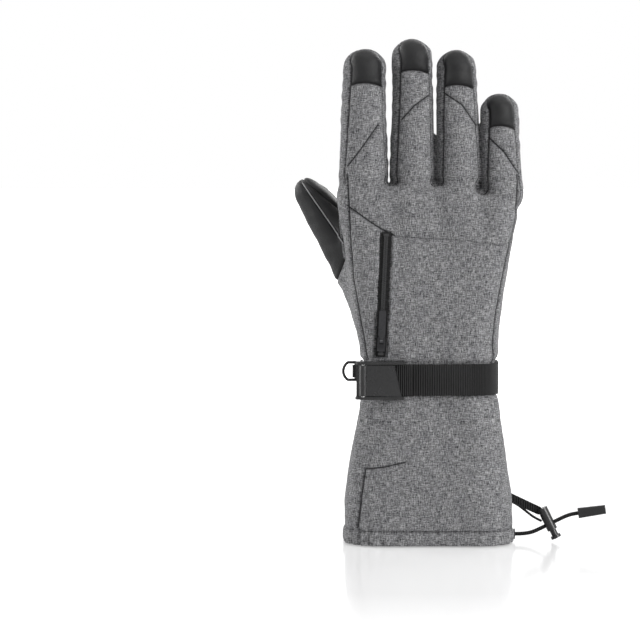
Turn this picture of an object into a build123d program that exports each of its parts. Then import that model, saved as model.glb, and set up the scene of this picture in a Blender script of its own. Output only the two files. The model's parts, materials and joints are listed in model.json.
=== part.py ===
from build123d import *

import math
import os
from collections import namedtuple

# A right-hand insulated ski glove, in millimetres. +Z points to the fingertips, the back of the
# hand faces -Y, the palm +Y, the thumb -X and the little finger +X. The origin is the middle of
# the cuff's mouth, in the plane of the hem that the glove stands on.

# The wall of the glove, from the outside in.
SKIN = 1.2
LOFT = 2.3
LINING = 0.8
PLY_GAP = 0.15

# Cuff, wrist and hand.
HEM_WIDTH = 106.4
HEM_DEPTH = 70.0
HEM_CORNER = 25.0
HEM_HEIGHT = 9.5
HEM_BULGE = 1.5
HEM_FOOT_INSET = 0.8
WRIST_WIDTH = 84.2
WRIST_DEPTH = 51.6
WRIST_CORNER = 18.0
WRIST_X = 0.8
WRIST_SEAM_Z = 106.0
HEEL_Z = 138.0
POCKET_TOP_Z = 200.0
KNUCKLE_Z = 219.0
HAND_TOP_Z = 231.0
POCKET_TOP_BACK = 22.0
GUSSET_HALF = 5.5
LEATHER_FOOT_Z = 119.0
GRIP_PATCH = 0.9

# Fingers: radii at the base ball and at the tip, the tip's height, the sideways lean of the tip,
# the height of the hinge and the height of the cap's lower edge.
Finger = namedtuple("Finger", "name base tip top lean hinge_z cap_z")
FINGERS = (
    Finger("index", 15.5, 13.3, 315.5, 1.1, 235.0, 292.0),
    Finger("middle", 14.4, 12.9, 321.8, -0.4, 235.0, 300.0),
    Finger("ring", 13.3, 12.6, 314.9, -2.2, 235.0, 291.0),
    Finger("little", 12.0, 12.1, 286.8, -1.6, 224.0, 265.0),
)
FINGER_SPACING = 1.7
OUTER_WALL = 2.0
KNUCKLE_X = 0.75
CURL_DEG = 60.0
SWING_CLEARANCE = 0.45
FINGER_SWING_STEPS = 5
SWING_STEP_GROWTH = 0.02
SKIN_RIM_DEG = 44.0
LINER_RIM_SHARE = 0.4
TOUCH_PATCH = 0.5
TOUCH_LOW_Z = 271.5
TOUCH_HIGH_Z = 300.7

# Thumb.
THUMB_BASE = Vector(-30.0, 14.0, 148.0)
THUMB_TIP = Vector(-72.0, 26.0, 220.5)
THUMB_BASE_R = 16.5
THUMB_TIP_R = 12.0
THUMB_SWING_DEG = 35.0
THUMB_SWING_STEPS = 6
THUMB_LEATHER_START = 30.0

# Zipped pocket on the back of the hand.
ZIP_FOOT = (-30.7, 120.0)
ZIP_HEAD = (-27.0, 200.0)
ZIP_SLOT = 6.8
TAPE_WIDTH = 6.4
TAPE = 0.8
COIL_WIDTH = 2.6
COIL = 0.9
SLIDER_LENGTH = 9.0
SLIDER_WALL = 0.85
SLIDER_START = 4.0
SLIDER_CLEARANCE = 0.3
PULL_LENGTH = 20.0
PULL_WIDTH = 4.4
PULL = 1.2
BAIL_R = 0.6
BAIL_HEIGHT = 3.4

# Wrist strap, its buckle and the ring at the thumb side.
STRAP_WIDTH = 20.0
STRAP = 1.6
STRAP_Z = 105.8
SEAT = 0.3
STRAP_END_Y = 9.0
BUCKLE_LENGTH = 30.5
BUCKLE_WIDTH = 24.0
BUCKLE_TANGENT_DEG = 8.0
BUCKLE_LEFT = 20.0
BUCKLE_BASE = 1.4
CHEEK = 1.8
CAM_R = 2.6
BUCKLE_PIN_R = 1.1
RUNNING = 0.2
LEVER = 2.0
LEVER_SLANT = 4.5
RING_WIRE_R = 0.9
RING_HEIGHT = 13.0
RING_REACH = 8.0
RING_BOW = 3.0
RING_RISE = 3.7
RING_Y = -2.0
TAB_HEIGHT = 8.0
TAB_REACH = 3.0
TAB_WALL = 1.1

# Hem drawcord, its lock and its end.
CORD_D = 2.5
KEEPER_D = 1.6
CHANNEL_R = 2.1
CHANNEL_INSET = 1.9
HEM_WALL = 5.2
CORD_BEND_R = 3.0
CORD_EXIT_Y = -2.0
EYELET_R = 2.4
EYELET_FLANGE_R = 3.4
EYELET_LENGTH = 2.0
LOCK_CENTRE = Vector(78.2, -4.0, 11.4)
LOCK_TILT_DEG = 26.0
LOCK_R = 3.3
LOCK_BORE_R = 2.35
LOCK_ABOVE = 11.2
LOCK_BELOW = 4.0
LOCK_ROOF = 1.4
BUTTON_HEAD = 1.8
BUTTON_STEM = 8.1
BUTTON_TRAVEL = 3.0
CORD_CLEARANCE = 0.35
CORD_END_LENGTH = 17.6
CORD_END_HEIGHT = 6.6
CORD_END = 4.0
TETHER = 1.2
TETHER_SIDE = 1.2

BIG = 400.0
Section = namedtuple("Section", "z x width back palm corner")


# Derived places.

def finger_places():
    """The x of each finger's base, laid side by side across the knuckles."""
    span = sum(2 * f.base for f in FINGERS) + FINGER_SPACING * (len(FINGERS) - 1)
    x = KNUCKLE_X - span / 2
    places = {}
    for finger in FINGERS:
        places[finger.name] = x + finger.base
        x += 2 * finger.base + FINGER_SPACING
    return places


FINGER_X = finger_places()
KNUCKLE_WIDTH = sum(2 * f.base for f in FINGERS) + FINGER_SPACING * (len(FINGERS) - 1) + 2 * OUTER_WALL
KNUCKLE_HALF = max(f.base for f in FINGERS) + 1.5
WRIST_LOW_Z = STRAP_Z - STRAP_WIDTH / 2 - 1.8
WRIST_HIGH_Z = STRAP_Z + STRAP_WIDTH / 2 + 2.2
HALF_WRIST = WRIST_DEPTH / 2
BACK_SLOPE = (HALF_WRIST - POCKET_TOP_BACK) / (POCKET_TOP_Z - WRIST_HIGH_Z)


def back_y(z):
    """The back surface of the hand beside the pocket, a flat face from the wrist upwards."""
    return -HALF_WRIST + (z - WRIST_HIGH_Z) * BACK_SLOPE


def gauntlet_sections():
    """The cuff, flaring from the wrist down to the hem: heights and shares of the flare."""
    flare = ((HEM_HEIGHT, 1.0), (28.0, 0.98), (51.0, 0.71), (68.0, 0.47), (WRIST_LOW_Z, 0.0))
    sections = []
    for z, share in flare:
        width = WRIST_WIDTH + (HEM_WIDTH - WRIST_WIDTH) * share
        half = (WRIST_DEPTH + (HEM_DEPTH - WRIST_DEPTH) * share) / 2
        corner = WRIST_CORNER + (HEM_CORNER - WRIST_CORNER) * share
        sections.append(Section(z, WRIST_X - 0.4 * share, width, -half, half, corner))
    sections.append(sections[-1]._replace(z=WRIST_SEAM_Z))
    return sections


def hand_sections():
    """The hand, from the wrist seam to the roots of the fingers."""
    grow = KNUCKLE_WIDTH - WRIST_WIDTH
    wrist = Section(WRIST_SEAM_Z, WRIST_X, WRIST_WIDTH, -HALF_WRIST, HALF_WRIST, WRIST_CORNER)
    return [
        wrist,
        wrist._replace(z=WRIST_HIGH_Z),
        Section(HEEL_Z, -1.0, WRIST_WIDTH + grow * 0.22, back_y(HEEL_Z), 27.5, 19.0),
        Section(POCKET_TOP_Z, -0.3, WRIST_WIDTH + grow * 0.71, -POCKET_TOP_BACK, 23.5, 18.0),
        Section(KNUCKLE_Z, 0.7, WRIST_WIDTH + grow * 0.94, -19.0, 19.5, 17.0),
        Section(HAND_TOP_Z, KNUCKLE_X, KNUCKLE_WIDTH, -KNUCKLE_HALF, KNUCKLE_HALF, 16.0),
    ]


def outline(section, inset):
    """The closed outline of a section, moved inwards by the inset."""
    width = section.width - 2 * inset
    depth = section.palm - section.back - 2 * inset
    middle = (section.palm + section.back) / 2
    return Pos(section.x, middle, section.z) * RectangleRounded(width, depth, section.corner - inset)


def tube_body(sections, inset):
    """The solid through a list of sections, moved inwards by the inset."""
    return loft([outline(s, inset).face() for s in sections], ruled=True)


def prism(points, y_from, y_to):
    """A solid over an outline of (x, z) points, from one y to another."""
    face = make_face(Polyline(*[(x, y_from, z) for x, z in points], close=True))
    return extrude(face, amount=y_to - y_from, dir=(0, 1, 0))


def slab(y_from, y_to):
    """All of space between two y planes."""
    return Pos(0, (y_from + y_to) / 2, 0) * Box(BIG * 2, y_to - y_from, BIG * 2)


def half_space(direction, distance):
    """All of space beyond a plane, along the direction."""
    plane = Plane(origin=direction * distance, z_dir=direction)
    return plane.location * Box(BIG, BIG, BIG, align=(Align.CENTER, Align.CENTER, Align.MIN))


# Hand body.

def below_top(depth):
    """The space under the hand's top, which drops towards the little finger."""
    little = FINGER_X["little"]
    bend = FINGER_X["ring"] + 7.4
    drop = HAND_TOP_Z - (FINGERS[-1].hinge_z - 2.4)
    slope = drop / (little - bend)
    edge = KNUCKLE_WIDTH
    points = [
        (-edge, -1.0),
        (edge, -1.0),
        (edge, HAND_TOP_Z - slope * (edge - bend) - depth),
        (bend, HAND_TOP_Z - depth),
        (-edge, HAND_TOP_Z - depth),
    ]
    return prism(points, -BIG / 4, BIG / 4)


def hand_body(inset):
    """The hand without its fingers, moved inwards by the inset on every side and at the top."""
    return tube_body(hand_sections(), inset) & below_top(max(inset, 0))


def capsule_edges(base, tip, length):
    """The right-hand outline of two balls and the cone that is tangent to both."""
    lean = math.asin((base - tip) / length)
    low = (base * math.cos(lean), 0, base * math.sin(lean))
    high = (tip * math.cos(lean), 0, length + tip * math.sin(lean))
    low_mid = math.radians(-45) + lean / 2
    high_mid = math.radians(45) + lean / 2
    ball = ThreePointArc((0, 0, -base), (base * math.cos(low_mid), 0, base * math.sin(low_mid)), low)
    cone = Line(low, high)
    cap_middle = (tip * math.cos(high_mid), 0, length + tip * math.sin(high_mid))
    cap = ThreePointArc(high, cap_middle, (0, 0, length + tip))
    return ball, cone, cap


def capsule(base, tip, length):
    """A finger stall's solid: its base ball is at the origin and its tip points along +Z."""
    ball, cone, cap = capsule_edges(base, tip, length)
    spine = Line((0, 0, length + tip), (0, 0, -base))
    return revolve(make_face([ball, cone, cap, spine]), Axis.Z, 360)


def swing(base, tip, length, angle, steps):
    """The space that a stall sweeps as it curls about -X from 0 to the angle, in even steps.

    The base ball grows a little at each step, so that no two balls share a surface.
    """
    hinge = Axis((0, 0, 0), (-1, 0, 0))
    room = capsule(base, tip, length)
    for step in range(1, steps + 1):
        ball = base + SWING_STEP_GROWTH * step
        room = room + capsule(ball, tip, length).rotate(hinge, angle * step / steps)
    return room


Stall = namedtuple("Stall", "plane base tip length swing_deg swing_steps")


def finger_stall(finger):
    """Where a finger's hinge stands and how its stall is sized."""
    x = FINGER_X[finger.name]
    foot = Vector(x, 0, finger.hinge_z)
    head = Vector(x + finger.lean, 0, finger.top - finger.tip)
    axis = head - foot
    plane = Plane(origin=foot, x_dir=(axis.Z, 0, -axis.X), z_dir=axis)
    return Stall(plane, finger.base, finger.tip, axis.length, CURL_DEG, FINGER_SWING_STEPS)


def thumb_stall():
    """Where the thumb's hinge stands and how its stall is sized."""
    axis = THUMB_TIP - THUMB_BASE
    plane = Plane(origin=THUMB_BASE, x_dir=Vector(0, 1, 0).cross(axis), z_dir=axis)
    return Stall(plane, THUMB_BASE_R, THUMB_TIP_R, axis.length, THUMB_SWING_DEG, THUMB_SWING_STEPS)


def swept_space(stall):
    """The room that the hand leaves for a stall to swing in."""
    base = stall.base + SWING_CLEARANCE
    tip = stall.tip + SWING_CLEARANCE
    return stall.plane.location * swing(base, tip, stall.length, stall.swing_deg, stall.swing_steps)


def stall_solid(stall, inset):
    """A stall's solid in its own frame, moved inwards by the inset."""
    return capsule(stall.base - inset, stall.tip - inset, stall.length)


def stall_skin(stall):
    """The outer ply of a stall. Its mouth is turned so that the ball covers the whole swing."""
    turn = math.radians(stall.swing_deg / 2)
    depth = stall.base * math.cos(math.radians(SKIN_RIM_DEG))
    mouth = half_space(Vector(0, math.sin(turn), -math.cos(turn)), depth)
    return stall_solid(stall, 0) - stall_solid(stall, SKIN) - mouth


def stall_liner(stall):
    """The warm inside of a stall, open at its mouth."""
    outer = SKIN + PLY_GAP
    inner = outer + LOFT + LINING
    mouth = half_space(Vector(0, 0, -1), stall.base * LINER_RIM_SHARE)
    return stall_solid(stall, outer) - stall_solid(stall, inner) - mouth


def finger_parts(finger):
    """One finger: back, cap, gusset, palm side and liner."""
    stall = finger_stall(finger)
    skin = stall_skin(stall)
    back = skin & slab(-BIG, -GUSSET_HALF)
    cap_space = Pos(0, 0, finger.cap_z - finger.hinge_z) * half_space(Vector(0, 0, 1), 0)
    pieces = {
        "back": back - cap_space,
        "cap": back & cap_space,
        "gusset": skin & slab(-GUSSET_HALF, GUSSET_HALF),
        "palm": skin & slab(GUSSET_HALF, BIG),
        "liner": stall_liner(stall),
    }
    return {f"{finger.name}_{k}": stall.plane.location * v for k, v in pieces.items()}


def touch_patch(finger):
    """The stitched patch on the palm side of the index fingertip."""
    stall = finger_stall(finger)
    raised = stall_solid(stall, -TOUCH_PATCH) - stall_solid(stall, 0)
    low = TOUCH_LOW_Z - finger.hinge_z
    high = TOUCH_HIGH_Z - finger.hinge_z
    room = Pos(0, BIG / 2 + GUSSET_HALF + 1, (low + high) / 2) * Box(BIG, BIG, high - low)
    return {"touch_patch": stall.plane.location * (raised & room)}


def thumb_parts():
    """The thumb: fabric base, leather end and liner."""
    stall = thumb_stall()
    skin = stall_skin(stall)
    end = half_space(Vector(0, 0, 1), THUMB_LEATHER_START)
    pieces = {
        "thumb_fabric": skin - end,
        "thumb_leather": skin & end,
        "thumb_liner": stall_liner(stall),
    }
    return {k: stall.plane.location * v for k, v in pieces.items()}


def zip_plane():
    """The pocket zip's frame: X runs up the zip and Z stands out of the back of the hand."""
    foot = Vector(ZIP_FOOT[0], back_y(ZIP_FOOT[1]), ZIP_FOOT[1])
    head = Vector(ZIP_HEAD[0], back_y(ZIP_HEAD[1]), ZIP_HEAD[1])
    return Plane(origin=foot, x_dir=head - foot, z_dir=(0, -1, BACK_SLOPE))


def zip_length():
    return math.dist(ZIP_FOOT, ZIP_HEAD)


def knuckle_space():
    """Everything above the seam across the knuckles."""
    seam = [(-70, 228), (-50.9, 215.4), (-30.9, 201.9), (-21.1, 196.6), (25.5, 194.0)]
    seam += [(44.2, 190.8), (70.0, 193.5)]
    return prism(seam + [(70.0, 260.0), (-70.0, 260.0)], -BIG / 4, BIG / 4)


def thumb_side_space():
    """Everything on the thumb's side of the pocket zip's line."""
    rise = (ZIP_HEAD[0] - ZIP_FOOT[0]) / (ZIP_HEAD[1] - ZIP_FOOT[1])
    low = (ZIP_FOOT[0] - rise * (ZIP_FOOT[1] - 90.0), 90.0)
    high = (ZIP_FOOT[0] + rise * (240.0 - ZIP_FOOT[1]), 240.0)
    return prism([low, high, (-90.0, 240.0), (-90.0, 90.0)], -BIG / 4, BIG / 4)


def clear_of(shape, spaces):
    """A shape with every swept space cut from it, one after the other."""
    for space in spaces:
        shape = shape - space
    return shape


def hand_parts(spaces):
    """The hand's outer panels, insulation and lining, cut clear of the fingers' swing."""
    skin = clear_of(hand_body(0) - hand_body(SKIN), spaces)
    side = GUSSET_HALF + 2.5
    back = skin & slab(-BIG, -side)
    palm = skin & slab(side, BIG)
    foot = Pos(0, 0, LEATHER_FOOT_Z - BIG / 2) * Box(BIG, BIG, BIG)
    knuckles = knuckle_space()
    thumb_side = thumb_side_space()
    slot_box = Pos(zip_length() / 2, 0, 0) * Box(zip_length() + 1, ZIP_SLOT, 10)
    slot = zip_plane().location * slot_box
    lower = back - knuckles - slot
    ply = SKIN + PLY_GAP
    lining = ply + LOFT + PLY_GAP
    insulation_body = hand_body(ply) - hand_body(ply + LOFT)
    lining_body = hand_body(lining) - hand_body(lining + LINING)
    return {
        "knuckle_panel": (back & knuckles) - slot,
        "pocket_panel": lower - thumb_side,
        "thumb_side_panel": lower & thumb_side,
        "palm_leather": palm - foot,
        "palm_wrist_panel": palm & foot,
        "side_gussets": skin & slab(-side, side),
        "hand_insulation": clear_of(insulation_body, spaces),
        "hand_lining": clear_of(lining_body, spaces),
    }


def grip_patches(spaces):
    """Three raised patches on the palm leather: across the knuckles, below them and at the heel."""
    knuckle = [(43, 211), (35, 175), (31.5, 182), (32.6, 199.6), (28.5, 203), (-41, 209), (-40, 216)]
    knuckle += [(-33.6, 223), (-23.5, 220.6), (-9.3, 222), (6.9, 217), (17.7, 218), (34, 212)]
    crescent = [(25, 188.6), (-16.5, 193.5), (-8, 184), (2.4, 179), (14, 181)]
    heel = [(31.4, 169.3), (35, 164), (28, 141), (17, 135.5), (3.7, 134.6), (0, 143.6)]
    heel += [(17, 153.5), (26.5, 162.6)]
    ring = tube_body(hand_sections(), -GRIP_PATCH) - tube_body(hand_sections(), 0)
    raised = clear_of(ring & slab(GUSSET_HALF + 3.0, BIG), spaces)
    patches = [raised & prism(points, 0, BIG / 4) for points in (knuckle, crescent, heel)]
    return {"grip_patches": Compound(children=[s for p in patches for s in p.solids()])}


# Gauntlet.

def hem_path():
    """The section at the middle of the hem's channel."""
    return gauntlet_sections()[0]._replace(z=HEM_HEIGHT / 2)


def channel_x():
    """The x of the channel's middle line at the little finger's side."""
    section = hem_path()
    return section.x + section.width / 2 - CHANNEL_INSET


def gauntlet_parts():
    """The cuff's two panels, its lining, the hem that holds the drawcord and the wrist elastic."""
    sections = gauntlet_sections()
    skin = tube_body(sections, 0) - tube_body(sections, SKIN)
    lining_depth = SKIN + 2 * PLY_GAP + 1.1
    lining = tube_body(sections, lining_depth) - tube_body(sections, lining_depth + LINING)
    hem = sections[0]
    levels = ((0, HEM_FOOT_INSET), (HEM_HEIGHT / 2, -HEM_BULGE), (HEM_HEIGHT, 0))
    shell = loft([outline(hem._replace(z=z), inset).face() for z, inset in levels], ruled=True)
    mouth = tube_body([hem._replace(z=-1), hem._replace(z=HEM_HEIGHT + 1)], HEM_WALL)
    track = outline(hem._replace(z=HEM_HEIGHT / 2), CHANNEL_INSET).face().outer_wire()
    start = Plane(origin=track @ 0, z_dir=track % 0)
    channel = sweep(start * Circle(CHANNEL_R), path=track)
    exit_hole = Pos(channel_x(), CORD_EXIT_Y, HEM_HEIGHT / 2) * Rot(0, 90, 0) * Cylinder(
        EYELET_R + 0.05, 12, align=(Align.CENTER, Align.CENTER, Align.MIN)
    )
    elastic = sections[-1]
    low = elastic._replace(z=STRAP_Z - 5)
    top = elastic._replace(z=WRIST_SEAM_Z)
    band_out = tube_body([low, top], SKIN + PLY_GAP)
    band_in = tube_body([low, top], SKIN + PLY_GAP + 1.0)
    return {
        "gauntlet_back": skin & slab(-BIG, 0),
        "gauntlet_palm": skin & slab(0, BIG),
        "gauntlet_lining": lining,
        "hem_channel": shell - mouth - channel - exit_hole,
        "wrist_elastic": band_out - band_in,
    }


# Zip.

def zip_parts():
    """The pocket zip: tape, coil with its stops, slider and pull."""
    plane = zip_plane()
    length = zip_length()
    middle = length / 2
    tape = Pos(middle, 0, -PLY_GAP - TAPE / 2) * Box(length - 1, TAPE_WIDTH, TAPE)
    coil_low = -PLY_GAP
    row_width = (COIL_WIDTH - 0.2) / 2
    rows = [
        Pos(middle, side * (row_width + 0.2) / 2, coil_low + COIL / 2)
        * Box(length - 6, row_width, COIL)
        for side in (-1, 1)
    ]
    stops = [
        Pos(x, 0, coil_low + COIL * 0.7) * Box(1.6, COIL_WIDTH + 0.8, COIL * 1.4)
        for x in (2.2, length - 2.2)
    ]
    inner_half = COIL_WIDTH / 2 + SLIDER_CLEARANCE
    outer_half = inner_half + SLIDER_WALL
    floor = coil_low + 0.3
    roof = coil_low + COIL + SLIDER_CLEARANCE
    roof_top = roof + SLIDER_WALL
    centre = SLIDER_START + SLIDER_LENGTH / 2
    block = Pos(centre, 0, (floor + roof_top) / 2) * Box(
        SLIDER_LENGTH, 2 * outer_half, roof_top - floor
    )
    tunnel = Pos(centre, 0, (floor + roof) / 2 - 1) * Box(
        SLIDER_LENGTH + 2, 2 * inner_half, roof - floor + 2
    )
    bail_x = centre + 1.5
    post_y = 1.7
    posts = [
        Pos(bail_x, side * post_y, (roof_top + BAIL_HEIGHT) / 2 + 0.3)
        * Box(1.8, 0.8, BAIL_HEIGHT - roof_top + 0.6)
        for side in (-1, 1)
    ]
    bar = Pos(bail_x, 0, BAIL_HEIGHT) * Rot(90, 0, 0) * Cylinder(BAIL_R, 2 * post_y)
    slider = block - tunnel + posts + bar
    eye_width = 2 * (post_y - 0.4) - 2 * RUNNING
    eye_r = BAIL_R + RUNNING + 0.6
    eye = Pos(bail_x, 0, BAIL_HEIGHT) * Rot(90, 0, 0) * Cylinder(eye_r, eye_width)
    neck = Pos(bail_x + 2, 0, BAIL_HEIGHT) * Box(4, eye_width, PULL)
    grip_start = bail_x + 3.0
    grip_length = PULL_LENGTH - 3.0
    grip = Pos(grip_start + grip_length / 2, 0, BAIL_HEIGHT) * extrude(
        RectangleRounded(grip_length, PULL_WIDTH, 1.4), PULL / 2, both=True
    )
    hole = Pos(bail_x, 0, BAIL_HEIGHT) * Rot(90, 0, 0) * Cylinder(BAIL_R + RUNNING, 10)
    pull = eye + neck + grip - hole
    pieces = {"zip_tape": tape, "zip_slider": slider, "zip_pull": pull}
    placed = {k: plane.location * v for k, v in pieces.items()}
    coil = [plane.location * piece for piece in rows + stops]
    placed["zip_coil"] = Compound(children=[s for piece in coil for s in piece.solids()])
    return placed


# Strap, buckle and ring.

def wrist_section():
    return Section(0, WRIST_X, WRIST_WIDTH, -HALF_WRIST, HALF_WRIST, WRIST_CORNER)


def buckle_plane():
    """The buckle's frame: X runs along the strap, Y is up and Z stands out of the strap."""
    turn = math.radians(BUCKLE_TANGENT_DEG)
    section = wrist_section()
    corner_x = section.x - section.width / 2 + section.corner
    corner_y = section.back + section.corner
    normal = Vector(-math.sin(turn), -math.cos(turn), 0)
    reach = section.corner + SEAT + STRAP
    origin = Vector(corner_x, corner_y, STRAP_Z) + normal * reach
    return Plane(origin=origin, x_dir=(math.cos(turn), -math.sin(turn), 0), z_dir=normal)


def strap_parts():
    """The webbing round the wrist, with the buckle and the free end that runs through it."""
    section = wrist_section()
    low = STRAP_Z - STRAP_WIDTH / 2
    high = STRAP_Z + STRAP_WIDTH / 2
    outer = tube_body([section._replace(z=low), section._replace(z=high)], -SEAT - STRAP)
    inner = tube_body([section._replace(z=low), section._replace(z=high)], -SEAT)
    strap = (outer - inner) & slab(-BIG, STRAP_END_Y)
    plane = buckle_plane()
    base_low = 0.2
    base_top = base_low + BUCKLE_BASE
    right = BUCKLE_LENGTH - BUCKLE_LEFT
    half = BUCKLE_WIDTH / 2
    base = Pos((right - BUCKLE_LEFT) / 2, 0, base_low + BUCKLE_BASE / 2) * Box(
        BUCKLE_LENGTH, BUCKLE_WIDTH, BUCKLE_BASE
    )
    tail_low = base_top + 0.1
    tail_thick = 1.3
    tail_width = BUCKLE_WIDTH - 2 * CHEEK - 0.4
    tail = Pos((right + 6 - BUCKLE_LEFT + 3) / 2, 0, tail_low + tail_thick / 2) * Box(
        BUCKLE_LENGTH - 3 + 6, tail_width, tail_thick
    )
    pin_x = -BUCKLE_LEFT + 5.0
    pin_z = tail_low + tail_thick + 0.4 + CAM_R
    cheek_top = pin_z + 2.0
    profile = [
        (-BUCKLE_LEFT, base_low),
        (right, base_low),
        (right, base_top + 2.2),
        (pin_x + 5, cheek_top),
        (-BUCKLE_LEFT + 1.5, cheek_top),
        (-BUCKLE_LEFT, cheek_top - 1.5),
    ]
    cheeks = [prism(profile, y, y + CHEEK) for y in (-half, half - CHEEK)]
    pin_hole = Pos(pin_x, 0, pin_z) * Rot(90, 0, 0) * Cylinder(BUCKLE_PIN_R + 0.1, BUCKLE_WIDTH + 2)
    frame = base + cheeks - pin_hole
    pin = Pos(pin_x, 0, pin_z) * Rot(90, 0, 0) * Cylinder(BUCKLE_PIN_R, BUCKLE_WIDTH)
    lever_half = half - CHEEK - 0.4
    eye = Pos(pin_x, 0, pin_z) * Rot(90, 0, 0) * Cylinder(CAM_R, 2 * lever_half)
    tip_x = right - 1.0
    blade_low = pin_z - LEVER / 2 + 0.2
    blade_points = [
        (pin_x, -lever_half),
        (tip_x, -lever_half),
        (tip_x - LEVER_SLANT, lever_half),
        (pin_x, lever_half),
    ]
    blade = extrude(make_face(Polyline(*blade_points, close=True)), LEVER)
    bore = Pos(pin_x, 0, pin_z) * Rot(90, 0, 0) * Cylinder(
        BUCKLE_PIN_R + RUNNING, 2 * lever_half + 2
    )
    lever = eye + Pos(0, 0, blade_low) * blade - bore
    pieces = {
        "strap_tail": tail,
        "buckle_frame": frame,
        "buckle_pin": pin,
        "buckle_lever": lever,
    }
    placed = {k: plane.location * v for k, v in pieces.items()}
    placed["wrist_strap"] = strap
    return placed


def ring_parts():
    """The webbing tab at the thumb side and the D-ring that swings in it."""
    section = wrist_section()
    wall_x = section.x - section.width / 2 - SEAT - STRAP
    bar_x = wall_x - TAB_REACH
    ring_z = STRAP_Z + RING_RISE
    sleeve_r = RING_WIRE_R + RUNNING + TAB_WALL
    web = Pos((wall_x + bar_x) / 2, RING_Y, ring_z) * Box(TAB_REACH, 1.6, TAB_HEIGHT)
    sleeve = Pos(bar_x, RING_Y, ring_z) * Cylinder(sleeve_r, TAB_HEIGHT)
    bore = Pos(bar_x, RING_Y, ring_z) * Cylinder(RING_WIRE_R + RUNNING, TAB_HEIGHT + 2)
    tab = web + sleeve - bore
    half = RING_HEIGHT / 2 - RING_WIRE_R
    far = bar_x - RING_REACH
    bow_x = far + RING_BOW
    bow_low = (bow_x, RING_Y, ring_z - half)
    bow_high = (bow_x, RING_Y, ring_z + half)
    bar = Pos(bar_x, RING_Y, ring_z) * Cylinder(RING_WIRE_R, 2 * half)
    arm_length = bar_x - bow_x
    arms = [
        Pos(bar_x - arm_length / 2, RING_Y, ring_z + side * half)
        * Rot(0, 90, 0)
        * Cylinder(RING_WIRE_R, arm_length)
        for side in (-1, 1)
    ]
    arc = ThreePointArc(bow_high, (far, RING_Y, ring_z), bow_low)
    bow = sweep(Plane(origin=arc @ 0, z_dir=arc % 0) * Circle(RING_WIRE_R), path=arc)
    corners = [Pos(bar_x, RING_Y, ring_z + side * half) * Sphere(RING_WIRE_R) for side in (-1, 1)]
    elbows = [Pos(bow_x, RING_Y, ring_z + side * half) * Sphere(RING_WIRE_R) for side in (-1, 1)]
    ring = bar + arms + corners + elbows + bow
    return {"ring_tab": tab, "d_ring": ring}


# Drawcord.

def lock_plane():
    """The cord lock's frame: X is the cord's way through it and Z its barrel, up and inwards."""
    tilt = math.radians(LOCK_TILT_DEG)
    return Plane(
        origin=LOCK_CENTRE,
        x_dir=(math.cos(tilt), 0, math.sin(tilt)),
        z_dir=(-math.sin(tilt), 0, math.cos(tilt)),
    )


def tube(points, diameter, name):
    """A round cord along straight runs joined by arcs, each as large as its two runs allow."""
    points = [Vector(*p) for p in points]
    radii = []
    for before, here, after in zip(points, points[1:], points[2:]):
        turn = (here - before).get_angle(after - here)
        run = min((here - before).length, (after - here).length)
        radii.append(0.45 * run / math.tan(math.radians(turn / 2)))
    path = FilletPolyline(*points, radius=radii)
    length = sum(e.length for e in path.edges())
    solid = sweep(Plane(origin=path @ 0, z_dir=path % 0) * Circle(diameter / 2), path=path)
    expected = length * math.pi * diameter ** 2 / 4
    print(name, "radii", [round(r, 1) for r in radii], "length", round(length, 1),
          "volume ratio", round(solid.volume / expected, 4))
    return solid


def cord_exit_x():
    return channel_x() + CORD_BEND_R + 1.5


def drawcord_route():
    """The free stretch of the drawcord: out of the eyelet, through the lock, to the cord end."""
    through = lock_plane().x_dir * 5.0
    enter = LOCK_CENTRE - through
    leave = LOCK_CENTRE + through
    return [
        (cord_exit_x(), CORD_EXIT_Y, HEM_HEIGHT / 2),
        (61.3, CORD_EXIT_Y, HEM_HEIGHT / 2),
        (67.4, -2.9, 6.0),
        (enter.X, enter.Y, enter.Z),
        (leave.X, leave.Y, leave.Z),
        (87.3, -4.7, 16.0),
        (92.0, -5.6, 17.9),
        (96.4, -6.3, 18.6),
    ]


def keeper_route():
    """The thin strand from the cuff's side down to the lock."""
    return [
        (53.7, -4.0, 26.0),
        (58.0, -4.4, 23.6),
        (63.2, -4.6, 19.4),
        (68.6, -4.4, 15.2),
        (73.0, -4.1, 13.2),
    ]


def hem_cord():
    """The drawcord inside the hem: once round, from its sewn end to the eyelet."""
    section = hem_path()
    track = outline(section, CHANNEL_INSET).face().outer_wire()
    start = Plane(origin=track @ 0, z_dir=track % 0)
    ring = sweep(start * Circle(CORD_D / 2), path=track)
    z = HEM_HEIGHT / 2
    x = channel_x()
    exit_start = CORD_EXIT_Y - CORD_BEND_R
    gap_end = CORD_EXIT_Y + 6.0
    gap = Pos(x, (exit_start + gap_end) / 2, z) * Box(8, gap_end - exit_start, 8)
    bow = CORD_BEND_R * (1 - math.cos(math.pi / 4))
    bend_end = (x + CORD_BEND_R, CORD_EXIT_Y, z)
    bend = ThreePointArc((x, exit_start, z), (x + bow, CORD_EXIT_Y - bow, z), bend_end)
    run = Line(bend_end, (cord_exit_x(), CORD_EXIT_Y, z))
    way = Wire([bend.edge(), run.edge()])
    lead = sweep(Plane(origin=way @ 0, z_dir=way % 0) * Circle(CORD_D / 2), path=way)
    return (ring - gap) + lead


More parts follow.
